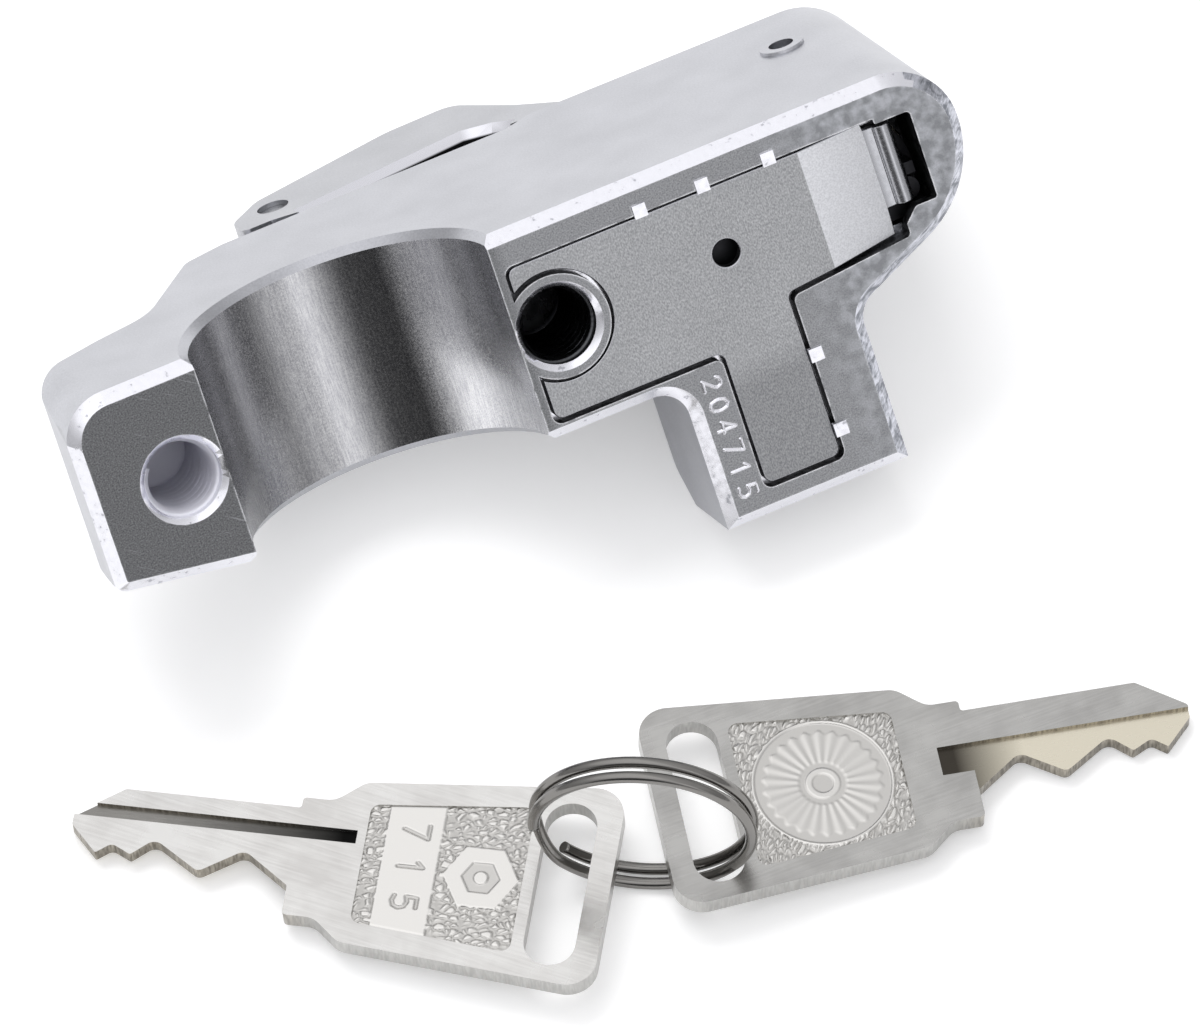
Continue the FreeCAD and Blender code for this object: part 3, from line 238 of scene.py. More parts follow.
def edge_mask(tree, radius_mm):
    """Near 1 beside an edge of the piece, 0 in the middle of a face."""
    rounded = add(tree, "ShaderNodeBevel", {"samples": 6, "Radius": radius_mm * MM}).outputs["Normal"]
    flat = add(tree, "ShaderNodeNewGeometry").outputs["Normal"]
    same = add(tree, "ShaderNodeVectorMath", {"operation": "DOT_PRODUCT"},
               {0: rounded, 1: flat}).outputs["Value"]
    return spread(tree, same, 1.0, 0.85, 0.0, 1.0)


def colour(tree, shader, source):
    tree.links.new(source, shader.inputs["Base Color"])


def rough(tree, shader, source):
    tree.links.new(source, shader.inputs["Roughness"])


def satin_chrome(name, dark, pale):
    """Nickel-chrome plate over a vibratory-finished zinc casting: pale, with a fine even speckle."""
    material, tree, shader = start(name, pale, 1.0, 0.3)
    place = own_place(tree, LOCK)
    cloud = grain(tree, place, 7.0, 3.0)
    fine = grain(tree, place, 0.22, 2.0)
    mixed = calc(tree, "MULTIPLY_ADD", cloud, 0.4, calc(tree, "MULTIPLY", fine, 0.6))
    colour(tree, shader, blend_colour(tree, spread(tree, mixed, 0.35, 0.65, 0.0, 1.0), dark, pale))
    rough(tree, shader, spread(tree, fine, 0.3, 0.7, 0.28, 0.36))
    bump(tree, shader, fine, 0.02, 0.3)
    return material


def ground_face():
    """Bare blasted zinc of the mounting faces: dark grey, a fine sparkle, edges chipped bright."""
    material, tree, shader = start("blasted_zinc_face", "7E7F81", 1.0, 0.5)
    place = own_place(tree, LOCK)
    grit = grain(tree, place, 0.16, 3.0)
    patch = grain(tree, place, 1.6, 4.0)
    scratch = grain(tree, stretched(tree, place, (0.1, 2.5, 1.0), 35), 1.0, 3.0)
    chips = calc(tree, "ADD", edge_mask(tree, 0.4), spread(tree, patch, 0.3, 0.7, -0.6, 0.2))
    worn = spread(tree, chips, 0.55, 0.7, 0.0, 1.0)
    speck = spread(tree, grit, 0.3, 0.7, 0.0, 1.0)
    dull = blend_colour(tree, spread(tree, split(tree, place)["X"], 15.5, 17.5, 0.0, 1.0),
                        blend_colour(tree, speck, "606163", "949597"),
                        blend_colour(tree, speck, "8C8D90", "BDBEC1"))
    marked = blend_colour(tree, spread(tree, scratch, 0.66, 0.72, 0.0, 0.6), dull, "B8B9BC")
    pale = blend_colour(tree, spread(tree, patch, 0.42, 0.62, 0.0, 1.0), "9C9EA2", "CFD1D7")
    near_nose = spread(tree, split(tree, place)["X"], 44.0, 52.0, 0.0, 0.8)
    colour(tree, shader, blend_colour(tree, worn, blend_colour(tree, near_nose, marked, pale), "F0F1F4"))
    rough(tree, shader, spread(tree, worn, 0.0, 1.0, 0.52, 0.22))
    bump(tree, shader, grit, 0.05, 0.6)
    return material


def bright_edge():
    """Polished bevels where the plate has been ground through: bright lavender white, with small nicks."""
    material, tree, shader = start("polished_bevel", "F2F2F8", 1.0, 0.16)
    place = own_place(tree, LOCK)
    nicks = grain(tree, place, 0.7, 4.0)
    colour(tree, shader, blend_colour(tree, spread(tree, nicks, 0.3, 0.36, 0.0, 1.0), "C4C5CC", "F4F4FA"))
    rough(tree, shader, spread(tree, nicks, 0.3, 0.6, 0.3, 0.16))
    bump(tree, shader, nicks, 0.04, 0.2)
    return material


def hook_edge_painted_slit_shade():
    """Edges of the hook: rubbed bright, and painted dark as shade down in the slit beside the casting."""
    material, tree, shader = start("rubbed_hook_edge_painted_slit_shade", "EDEDF3", 1.0, 0.2)
    height = split(tree, own_place(tree, LOCK))["Y"]
    above = spread(tree, height, -1.3, -1.15, 0.0, 1.0)
    beneath = spread(tree, height, -2.1, -1.9, 1.0, 0.0)
    # Near-black 101011 between these heights: painted shade in the slit beside the casting.
    colour(tree, shader, blend_colour(tree, calc(tree, "MAXIMUM", above, beneath), "101011", "EDEDF3"))
    return material


def nose_slope():
    """Hand-dressed slope round the nose: grey plate with swirling scratches and darker rubbed patches."""
    material, tree, shader = start("dressed_chrome_slope", "B6B9C0", 1.0, 0.3)
    place = own_place(tree, LOCK)
    swirl = grain(tree, stretched(tree, place, (0.5, 0.5, 0.5)), 1.0, 4.0, 1.6)
    hair = grain(tree, stretched(tree, place, (0.25, 3.0, 1.0), -30), 0.6, 3.0, 0.4)
    both = calc(tree, "MULTIPLY_ADD", swirl, 0.6, calc(tree, "MULTIPLY", hair, 0.4))
    colour(tree, shader, blend_colour(tree, spread(tree, both, 0.4, 0.6, 0.0, 1.0), "85888F", "DDDFE8"))
    rough(tree, shader, spread(tree, both, 0.35, 0.65, 0.38, 0.24))
    bump(tree, shader, hair, 0.03, 0.4)
    return material


def value_ramp(tree, place, stops):
    """Grey levels, a little blue, along a place from 0 to 1."""
    node = add(tree, "ShaderNodeValToRGB", None, {0: place})
    ramp = node.color_ramp
    while len(ramp.elements) < len(stops):
        ramp.elements.new(0.5)
    for element, (position, value) in zip(ramp.elements, stops):
        element.position = position
        element.color = (value, value, value * 1.015, 1)
    return node.outputs[0]


# Painted reflection on the plate in the saddle, in bands along the tube: place across it from 0 to 1, level
SADDLE_PAINTED_REFLECTION_BANDS = (
    (0.0, 0.56), (0.03, 0.64), (0.12, 0.5), (0.22, 0.62), (0.32, 0.52), (0.38, 0.8), (0.47, 0.8),
    (0.55, 0.6), (0.63, 0.33), (0.74, 0.28), (0.79, 0.95), (0.88, 1.0), (0.93, 0.95), (1.0, 0.9),
)


def saddle_finish():
    """Plated bore of the saddle, lightly scratched along the tube, with bands of painted reflection across it."""
    material, tree, shader = start("scratched_chrome_saddle_painted_reflection", "C4C5CB", 1.0, 0.2)
    place = own_place(tree, LOCK)
    scratches = grain(tree, stretched(tree, place, (1.0, 0.06, 1.0)), 0.12, 3.0)
    specks = grain(tree, place, 0.2, 2.0)
    both = calc(tree, "MULTIPLY_ADD", scratches, 0.5, calc(tree, "MULTIPLY", specks, 0.5))
    across = spread(tree, split(tree, place)["X"], -16.0, 16.0, 0.0, 1.0)
    # Levels across the bore, multiplied into the scratches below: painted reflection.
    painted_reflection_bands = value_ramp(tree, across, SADDLE_PAINTED_REFLECTION_BANDS)
    grit = blend_colour(tree, spread(tree, both, 0.38, 0.62, 0.0, 1.0), "D0D0D4", "FFFFFF")
    tinted = add(tree, "ShaderNodeMix", {"data_type": "RGBA", "blend_type": "MULTIPLY", 0: 1.0},
                 {6: painted_reflection_bands, 7: grit})
    colour(tree, shader, tinted.outputs[2])
    rough(tree, shader, spread(tree, specks, 0.3, 0.7, 0.2, 0.3))
    bump(tree, shader, both, 0.015, 0.3)
    return material


def tapped_wall(name, base, metallic, roughness):
    """Wall of a tapped hole: machined zinc with turning marks, in the base colour given; the left hole's whitish
    base is painted light.
    """
    material, tree, shader = start(name, base, metallic, roughness)
    rings = grain(tree, stretched(tree, own_place(tree, LOCK), (0.3, 0.3, 3.0)), 0.4, 3.0)
    rough(tree, shader, spread(tree, rings, 0.3, 0.7, roughness - 0.06, roughness + 0.1))
    bump(tree, shader, rings, 0.03, 0.5)
    return material


def raw_casting_painted_shade():
    """Unplated inside of the casting, rough, darkened as painted shade of the deep hollow."""
    material, tree, shader = start("raw_zinc_casting_painted_shade", "3A3B3D", 1.0, 0.5)
    lumps = grain(tree, own_place(tree, LOCK), 0.9, 4.0, 0.6)
    colour(tree, shader, blend_colour(tree, spread(tree, lumps, 0.35, 0.65, 0.0, 1.0), "1C1C1E", "5E5F62"))
    bump(tree, shader, lumps, 0.15, 0.6)
    return material


def blasted_plate():
    """Stamped steel plate, fine bead blasted: even mid grey with short bright flecks."""
    material, tree, shader = start("bead_blasted_steel", "8E8F91", 1.0, 0.42)
    place = own_place(tree, LOCK)
    flecks = grain(tree, stretched(tree, place, (1.0, 0.55, 1.0)), 0.14, 3.0)
    cloud = grain(tree, place, 7.0, 2.0)
    wear = calc(tree, "ADD", edge_mask(tree, 0.25),
                spread(tree, grain(tree, place, 1.2, 2.0), 0.3, 0.7, -0.3, 0.2))
    speck = spread(tree, flecks, 0.35, 0.68, 0.0, 1.0)
    dull = blend_colour(tree, spread(tree, split(tree, place)["Y"], -25.0, -22.0, 0.0, 1.0),
                        blend_colour(tree, speck, "8D8E91", "B5B6B8"),
                        blend_colour(tree, speck, "9FA0A3", "CCCDCF"))
    colour(tree, shader, blend_colour(tree, spread(tree, wear, 0.4, 0.7, 0.0, 0.8), dull, "E4E5E8"))
    rough(tree, shader, spread(tree, cloud, 0.3, 0.7, 0.38, 0.46))
    bump(tree, shader, flecks, 0.03, 0.5)
    return material


def drawn_plate():
    """The plate's tongue, drawn smooth in the die: paler, with an even fine speckle."""
    material, tree, shader = start("drawn_steel_tongue", "E4E5E9", 1.0, 0.34)
    place = own_place(tree, LOCK)
    flecks = grain(tree, place, 0.18, 2.0)
    colour(tree, shader, blend_colour(tree, spread(tree, flecks, 0.35, 0.65, 0.0, 1.0), "DADBDF", "EEEFF3"))
    bump(tree, shader, flecks, 0.02, 0.4)
    return material


def plain_metal(name, base, roughness, size_mm=0.3):
    """Turned, drawn or punched metal with an even, lightly varied polish."""
    material, tree, shader = start(name, base, 1.0, roughness)
    fine = grain(tree, own_place(tree, LOCK), size_mm, 2.0)
    rough(tree, shader, spread(tree, fine, 0.3, 0.7, roughness - 0.06, roughness + 0.08))
    return material


def moulded_black():
    """Injection moulded black acetal of the key cover."""
    material, tree, shader = start("moulded_acetal", "131314", 0.0, 0.42)
    fine = grain(tree, own_place(tree, LOCK), 0.35, 2.0)
    rough(tree, shader, spread(tree, fine, 0.3, 0.7, 0.34, 0.5))
    bump(tree, shader, fine, 0.02, 0.3)
    return material


def key_nickel(name, matrix, dark, pale):
    """Bright nickel over brass, tumbled: near white, soft handling marks."""
    material, tree, shader = start(name, "DAD8D4", 1.0, 0.24)
    place = own_place(tree, matrix)
    cloud = grain(tree, place, 5.0, 3.0)
    hair = grain(tree, stretched(tree, place, (0.12, 3.0, 1.0), 12), 0.8, 3.0)
    mixed = calc(tree, "MULTIPLY_ADD", cloud, 0.7, calc(tree, "MULTIPLY", hair, 0.3))
    colour(tree, shader, blend_colour(tree, spread(tree, mixed, 0.36, 0.62, 0.0, 1.0), dark, pale))
    rough(tree, shader, spread(tree, cloud, 0.3, 0.7, 0.2, 0.3))
    bump(tree, shader, hair, 0.008, 0.3)
    return material


def key_wall(name, matrix):
    """Edges of the key: milled cuts where brass shows warm through thin plate, and a tumbled smooth bow."""
    material, tree, shader = start(name, "A9A49A", 1.0, 0.28)
    place = own_place(tree, matrix)
    streaks = grain(tree, stretched(tree, place, (2.0, 2.0, 0.3)), 0.5, 3.0)
    lines = spread(tree, streaks, 0.35, 0.65, 0.0, 1.0)
    milled = blend_colour(tree, lines, "7A746A", "B4AEA2")
    smooth = blend_colour(tree, lines, "BEBDBA", "D0CFCC")
    toward_bow = spread(tree, split(tree, place)["X"], 21.0, 26.0, 0.0, 1.0)
    colour(tree, shader, blend_colour(tree, toward_bow, milled, smooth))
    bump(tree, shader, streaks, 0.008, 0.2)
    return material


def key_groove_painted_light(name, matrix, stops):
    """Floor of a milled groove: level and colour change along the blade, from the tip to the bow, as painted light
    and shade.
    """
    material, tree, shader = start(name, "8A857B", 1.0, 0.3)
    place = own_place(tree, matrix)
    marks = grain(tree, stretched(tree, place, (0.3, 3.0, 1.0)), 0.5, 3.0)
    start_x, end_x, near, far = stops
    along = spread(tree, split(tree, place)["X"], start_x, end_x, 0.0, 1.0)
    colour(tree, shader, blend_colour(tree, along, near, far))
    rough(tree, shader, spread(tree, marks, 0.3, 0.7, 0.24, 0.4))
    return material


def coined_panel():
    """Coined relief of the bow: dull between the pebbles, rubbed bright on top."""
    material, tree, shader = start("coined_nickel_relief", "D2D0CC", 1.0, 0.3)
    height = add(tree, "ShaderNodeAttribute", {"attribute_name": "relief"}).outputs["Fac"]
    colour(tree, shader, blend_colour(tree, spread(tree, height, 0.02, 0.2, 0.0, 1.0), "C4C2BE", "E4E2DE"))
    rough(tree, shader, spread(tree, height, 0.02, 0.24, 0.42, 0.26))
    return material


SATIN = satin_chrome("satin_chrome_plate", "B9BABF", "CCCDD2")
HOOK_SATIN = satin_chrome("satin_chrome_hook", "B5B6BA", "C6C7CB")
HOOK_EDGE_PAINTED_SHADE = hook_edge_painted_slit_shade()
FACE = ground_face()
EDGE = bright_edge()
SLOPE = nose_slope()
SADDLE = saddle_finish()
# The left hole's whitish, less metallic wall is painted light; the right hole's wall is dark.
LEFT_WALL_PAINTED_LIGHT = tapped_wall("tapped_zinc_painted_light", "F0F0F8", 0.3, 0.42)
RIGHT_WALL = tapped_wall("tapped_zinc_dark", "56575A", 1.0, 0.26)
RAW_PAINTED_SHADE = raw_casting_painted_shade()
PLATE = blasted_plate()
TONGUE = drawn_plate()
LIP = plain_metal("burnished_steel_lip", "C4C5CA", 0.22)
STEEL = plain_metal("turned_steel", "A9AAAD", 0.3)
# Dark steel for the cam, its clip and the latch bolt deep inside the lock: painted shade.
DARK_STEEL_PAINTED_SHADE = plain_metal("dark_steel_painted_shade", "343437", 0.4)
SPRING = plain_metal("drawn_spring_steel", "77787A", 0.3)
BARREL = plain_metal("nickel_plated_brass", "B9B4A8", 0.28, 0.4)
WAFER = plain_metal("punched_brass", "C9A85A", 0.32)
BLACK = moulded_black()
RING = plain_metal("dark_polished_spring_steel", "8A8885", 0.14, 0.5)
PANEL = coined_panel()


# Meshes

def finish_piece(piece, body, slot, *nodes):
    """A made piece rides on its body and stands for its CAD nodes, which it hides; its slot is not used."""
    if nodes:
        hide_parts(*nodes)
    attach(piece, body)


def new_piece(name, mesh, materials):
    for material in materials:
        mesh.materials.append(material)
    piece = bpy.data.objects.new(name, mesh)
    bpy.context.scene.collection.objects.link(piece)
    return piece


def apply_modifiers(piece):
    mesh = bpy.data.meshes.new_from_object(piece.evaluated_get(bpy.context.evaluated_depsgraph_get()))
    old = piece.data
    piece.modifiers.clear()
    piece.data = mesh
    bpy.data.meshes.remove(old)


def rounded_copy(node, matrix, width_mm, materials, choose, edge_index):
    """The CAD node's shape with its sharp edges rounded, and a material chosen for each face."""
    mesh = frame["nodes"][node].data.copy()
    mesh.name = node
    mesh.materials.clear()
    back = matrix.inverted()
    turn = back.to_3x3().normalized()
    shape = bmesh.new()
    shape.from_mesh(mesh)
    bmesh.ops.remove_doubles(shape, verts=shape.verts, dist=2e-6)
    bmesh.ops.dissolve_degenerate(shape, dist=1e-6, edges=shape.edges)
    bmesh.ops.dissolve_limit(shape, angle_limit=math.radians(0.6), verts=shape.verts, edges=shape.edges)
    for face in shape.faces:
        face.material_index = choose(back @ face.calc_center_median(), turn @ face.normal)
        face.smooth = True
    shape.to_mesh(mesh)
    shape.free()
    piece = new_piece(node + "_finished", mesh, materials)
    bevel = piece.modifiers.new("rounded edges", "BEVEL")
    bevel.width = width_mm * MM
    bevel.segments = 2
    bevel.limit_method = "ANGLE"
    bevel.angle_limit = math.radians(32)
    bevel.use_clamp_overlap = True
    bevel.material = edge_index
    flats = piece.modifiers.new("flat faces", "WEIGHTED_NORMAL")
    flats.keep_sharp = True
    apply_modifiers(piece)
    return piece


# Material slots of the casting, the plate and a key, in the order in which they are given
(SATIN_SLOT, FACE_SLOT, EDGE_SLOT, SADDLE_SLOT,
 LEFT_WALL_SLOT, RAW_PAINTED_SHADE_SLOT, RIGHT_WALL_SLOT, SLOPE_SLOT) = range(8)
PLATE_SLOT, TONGUE_SLOT, LIP_SLOT, PLATE_EDGE_PAINTED_SHADE_SLOT = range(4)
KEY_FACE_SLOT, KEY_WALL_SLOT, KEY_GROOVE_SLOT, KEY_FLANK_SLOT = range(4)
HOOK_SLOT, HOOK_EDGE_PAINTED_SHADE_SLOT = range(2)


def casting_finish(place, normal):
    """Which finish a face of the casting has, by where it is on the lock."""
    for x, y in BOLT_HOLES:
        if math.hypot(place.x - x, place.y - y) < BOLT_HOLE_RADIUS + 0.1 and place.z < -0.2:
            return RIGHT_WALL_SLOT if x > 0 else LEFT_WALL_SLOT
    from_axis = math.hypot(place.x, place.z - SADDLE_MIDDLE[2])
    if abs(from_axis - SADDLE_RADIUS) < 0.4 and abs(normal.y) < 0.2 and place.z < 0.5:
        return SADDLE_SLOT
    if place.z > 0.05:
        return EDGE_SLOT
    if normal.z > 0.95 and place.z > -0.6:
        return FACE_SLOT
    if normal.z > 0.2 and place.z > -3.4:
        return SLOPE_SLOT if place.x > 62 or (place.x > 46 and normal.y < 0) else EDGE_SLOT
    inside = (PLATE_LEFT - 0.3 < place.x < 64 and -4.0 > place.y > -36 and -32 < place.z < -0.3)
    side_x, side_y, side_radius = NOSE_SIDE
    beyond = place.x > side_x and math.hypot(place.x - side_x, place.y - side_y) > side_radius - 0.4
    under_x, under_y, reach = NOSE_UNDERSIDE
    below = place.x > 47 and under_x * place.x + under_y * place.y > reach - 0.4
    # Faces in the hollow take the dark raw finish, darkened as painted shade.
    if inside and not beyond and not below and (place.y > -21.5 or 34.0 < place.x < 44.0):
        return RAW_PAINTED_SHADE_SLOT
    return SATIN_SLOT


def plate_finish(place, normal):
    """Which finish a face of the plate has: edges painted dark as shade in the gaps, then plate, tongue and lip
    towards the nose.
    """
    if normal.z < 0.3:
        return PLATE_EDGE_PAINTED_SHADE_SLOT
    if place.x > PLATE_LIP_X:
        return LIP_SLOT
    return TONGUE_SLOT if place.x > PLATE_BEND_X else PLATE_SLOT


def key_finish(place, normal):
    """Which finish a face of a key has: its walls, then the floors of its groove and flank by depth."""
    if abs(normal.z) < 0.6:
        return KEY_WALL_SLOT
    if 1.3 < place.z < KEY_THICKNESS - 0.4 and place.x < PANEL_START:
        return KEY_GROOVE_SLOT
    if 0.4 < place.z < 0.8 and place.x < PANEL_START:
        return KEY_FLANK_SLOT
    return KEY_FACE_SLOT


def lever_finish(place, normal):
    """Which finish a face of the hook has: its bevel beside the casting is rubbed, with painted shade where it
    runs down into the slit; the rest is plated.
    """
    return HOOK_EDGE_PAINTED_SHADE_SLOT if normal.y > 0.3 and normal.z > 0.3 else HOOK_SLOT


# Numbers as strokes in a box 0.6 wide and 1 high
DIGITS = {
    "0": ((0.3, 0), (0.08, 0.12), (0, 0.4), (0, 0.6), (0.08, 0.88), (0.3, 1), (0.52, 0.88),
          (0.6, 0.6), (0.6, 0.4), (0.52, 0.12), (0.3, 0)),
    "1": ((0.1, 0.78), (0.32, 1), (0.32, 0)),
    "2": ((0.02, 0.78), (0.1, 0.94), (0.3, 1), (0.5, 0.94), (0.58, 0.75), (0.5, 0.55), (0.02, 0), (0.6, 0)),
    "4": ((0.44, 0), (0.44, 1), (0, 0.3), (0.6, 0.3)),
    "5": ((0.54, 1), (0.1, 1), (0.06, 0.56), (0.3, 0.62), (0.52, 0.52), (0.6, 0.3), (0.5, 0.08),
          (0.28, 0), (0.04, 0.08)),
    "7": ((0, 1), (0.6, 1), (0.22, 0)),
}


def number_strokes(text, x, y, height, step):
    """Strokes of a number that reads down the y axis, its tops towards +x: pairs of points."""
    strokes = []
    for i, digit in enumerate(text):
        points = [(x + b * height, y - i * step - a * height) for a, b in DIGITS[digit]]
        strokes += zip(points, points[1:])
    return strokes


def stroke_distance(x, y, strokes):
    least = 99.0
    for (ax, ay), (bx, by) in strokes:
        dx, dy = bx - ax, by - ay
        t = max(0.0, min(1.0, ((x - ax) * dx + (y - ay) * dy) / (dx * dx + dy * dy)))
        least = min(least, math.hypot(x - ax - t * dx, y - ay - t * dy))
    return least


def ease(value, low, high):
    """0 below low, 1 above high, and a smooth rise between them."""
    t = max(0.0, min(1.0, (value - low) / (high - low)))
    return t * t * (3 - 2 * t)


def relief(name, matrix, start_x, end_x, step, half, middle, height, base, materials, floor=None):
    """A sheet of small squares over (x, y) whose height is a function of its place."""
    columns = round((end_x - start_x) / step) + 1
    widest = max(half(start_x), half(end_x))
    rows = round(2 * widest / step) + 1
    verts, values = [], []
    for i in range(columns):
        x = start_x + (end_x - start_x) * i / (columns - 1)
        for j in range(rows):
            y = middle + (2 * j / (rows - 1) - 1) * half(x)
            rise = height(x, y)
            verts.append(matrix @ Vector((x, y, base + rise)))
            values.append(rise)
    faces = []
    for i in range(columns - 1):
        for j in range(rows - 1):
            first = i * rows + j
            corners = (first, first + rows, first + rows + 1, first + 1)
            if floor is None or max(values[c] for c in corners) > floor:
                faces.append(corners)
    mesh = bpy.data.meshes.new(name)
    mesh.from_pydata(verts, [], faces)
    mesh.attributes.new("relief", "FLOAT", "POINT").data.foreach_set("value", values)
    mesh.shade_smooth()
    if floor is not None:
        shape = bmesh.new()
        shape.from_mesh(mesh)
        bmesh.ops.delete(shape, geom=[v for v in shape.verts if not v.link_faces], context="VERTS")
        shape.to_mesh(mesh)
        shape.free()
    return new_piece(name, mesh, materials)


def pebble(x, y, wide, long, angle, layer):
    """Rounded cells of a coined leather grain, 0 in the seams and 1 on top."""
    c, s = math.cos(math.radians(angle)), math.sin(math.radians(angle))
    where = Vector(((x * c + y * s) / long, (y * c - x * s) / wide, layer))
    where += noise.noise_vector(where * 0.9) * 0.35
    near = noise.voronoi(where)[0]
    return ease(near[1] - near[0], 0.02, 0.42)


KEY_STROKES = number_strokes(KEY_NUMBER, 33.0, 5.0, 2.5, 4.0)


def panel_half(x):
    """Half the panel's width at a place along the key."""
    wider = (PANEL_HALF_END - PANEL_HALF_START) * (x - PANEL_START) / (PANEL_END - PANEL_START)
    return PANEL_HALF_START + wider


def panel_border(x, y):
    """0.75 along the rim of the panel and 1 from 0.25 mm inside it."""
    inset = min(x - PANEL_START, PANEL_END - x, panel_half(x) - abs(y))
    return 0.75 + 0.25 * ease(inset, 0.0, 0.25)


def numbered_panel(x, y):
    """Groove side: pebbles, a plain band with a number, pebbles again round a plain hexagon."""
    grain_height = 0.04 + 0.18 * pebble(x, y, 0.62, 0.95, 20, 3.0)
    band = ease(x, BAND_START - 0.1, BAND_START + 0.1) - ease(x, BAND_END - 0.1, BAND_END + 0.1)
    value = grain_height * (1 - band) + 0.24 * band
    if KEY_NUMBER_START < x < KEY_NUMBER_END:
        value -= 0.16 * (1 - ease(stroke_distance(x, y, KEY_STROKES), 0.1, 0.26))
    px, py = abs(x - HEXAGON_MIDDLE[0]), abs(y - HEXAGON_MIDDLE[1])
    hexagon = max(py, 0.866 * px + 0.5 * py)
    outer = 1 - ease(hexagon, 3.3, 3.5)
    inner = 1 - ease(hexagon, 1.6, 1.75)
    dot = 1 - ease(math.hypot(px, py), 0.65, 0.8)
    mark = 0.26 * (1 - inner) + inner * (0.1 + 0.16 * dot)
    return (value + (mark - value) * outer) * panel_border(x, y)


def medallion_panel(x, y):
    """Flank side: fine worm-like pebbles round a raised ring, with a plain rosette in it."""
    px, py = x - ROSETTE_MIDDLE_X, y
    radius = math.hypot(px, py)
    angle = math.atan2(py, px)
    outside = 0.03 + 0.2 * pebble(x, y, 0.5, 1.1, 60, 7.0)
    rays = 0.5 + 0.5 * math.cos(26 * angle)
    rosette = ease(radius, 2.2, 2.6) - ease(radius, 5.4 + 0.4 * rays, 5.8 + 0.4 * rays)
    inside = 0.1 + 0.07 * rosette * (0.35 + 0.65 * rays)
    inside += 0.1 * (1 - ease(abs(radius - 1.4), 0.25, 0.4))
    value = inside + (outside - inside) * ease(radius, 6.9, 7.1)
    rim = 1 - ease(abs(radius - 7.0), 0.1, 0.22)
    return (value + (0.27 - value) * rim) * panel_border(x, y)


# The face of each key: colour where the plate is dull, and where it is rubbed; key_2's darker pair is painted
# shade
KEY_FACES = {"key_1": ("CBC9C6", "E2E1DE"), "key_2": ("AFAEAB", "C4C3C0")}


def make_key(name):
    matrix = key_matrix(name)
    face = key_nickel("bright_nickel_" + name, matrix, *KEY_FACES[name])
    wall = key_wall("worn_nickel_wall_" + name, matrix)
    groove = key_groove_painted_light("milled_groove_painted_shade_" + name, matrix, GROOVE_PAINTED_SHADE_STOPS)
    flank = key_groove_painted_light("milled_flank_painted_light_" + name, matrix, FLANK_PAINTED_LIGHT_STOPS)
    body = rounded_copy(name, matrix, 0.22, [face, wall, groove, flank], key_finish, KEY_FACE_SLOT)
    finish_piece(body, name, "key_nickel", name)
    other = matrix @ Matrix.Translation((0, 0, KEY_THICKNESS)) @ Matrix.Rotation(math.pi, 4, "X")
    base = KEY_THICKNESS - PANEL_DEPTH
    for label, side, shape in (("number", matrix, numbered_panel), ("rosette", other, medallion_panel)):
        panel = relief("%s_%s_panel" % (name, label), side, PANEL_START, PANEL_END, PANEL_CELL,
                       panel_half, 0.0, shape, base, [PANEL])
        finish_piece(panel, name, "key_nickel")


def leg_number():
    """Plain numbers stamped down the leg's left strip, raised and rubbed bright."""
    strokes = number_strokes(LEG_NUMBER, LEG_STRIP_X - LEG_DIGIT_HEIGHT / 2, LEG_STRIP_TOP,
                             LEG_DIGIT_HEIGHT, LEG_DIGIT_STEP)

    def rise(x, y):
        return 0.14 * (1 - ease(stroke_distance(x, y, strokes), 0.04, 0.22))

    piece = relief("leg_number", LOCK, LEG_STRIP_X - LEG_NUMBER_HALF_WIDTH,
                   LEG_STRIP_X + LEG_NUMBER_HALF_WIDTH, LEG_NUMBER_CELL,
                   lambda x: LEG_NUMBER_HALF_LENGTH, LEG_STRIP_TOP - 7.0,
                   rise, -0.02, [EDGE], 0.015)
    finish_piece(piece, "lock", "cast_chrome")


def tube_mesh(name, points, radius, sides):
    """A round wire through the points, closed by a flat end at each side."""
    verts, faces = [], []
    normal = None
    for i, point in enumerate(points):
        ahead = points[min(i + 1, len(points) - 1)] - points[max(i - 1, 0)]
        ahead.normalize()
        if normal is None:
            normal = ahead.orthogonal().normalized()
        normal = (normal - normal.dot(ahead) * ahead).normalized()
        across = ahead.cross(normal)
        for k in range(sides):
            a = 2 * math.pi * k / sides
            verts.append(point + (normal * math.cos(a) + across * math.sin(a)) * radius)
    for i in range(len(points) - 1):
        for k in range(sides):
            first, after = i * sides + k, i * sides + (k + 1) % sides
            faces.append((first, after, after + sides, first + sides))
    faces.append(tuple(reversed(range(sides))))
    faces.append(tuple(range(len(verts) - sides, len(verts))))
    mesh = bpy.data.meshes.new(name)
    mesh.from_pydata(verts, [], faces)
    mesh.shade_smooth()
    for face in mesh.polygons[-2:]:
        face.use_smooth = False
    return mesh


def split_ring():
    """Two flat turns side by side, with a short step from one to the other."""
    step = RING_WIRE + RING_TURN_GAP
    radius = RING_RADIUS - RING_WIRE / 2
    flat = 360 - RING_STEP_ANGLE
    last = int(360 + flat)
    points = []
    for degrees in range(0, last + 1, 2):
        height = -step / 2 + step * ease(degrees, flat, 360)
        angle = math.radians(degrees + RING_TURNED)
        points.append(Vector((radius * math.cos(angle), radius * math.sin(angle), height)))
    normal = Vector((-math.sin(math.radians(RING_YAW)), math.cos(math.radians(RING_YAW)), 0))
    turn = Vector((0, 0, 1)).rotation_difference(normal).to_matrix()
    centre = Vector(JOINTS["key_1_turn"]["pos_m"])
    points = [centre + turn @ point * MM for point in points]
    piece = new_piece("ring_wire", tube_mesh("ring_wire", points, RING_WIRE / 2 * MM, 18), [RING])
    finish_piece(piece, "ring", "ring_steel", "split_ring")


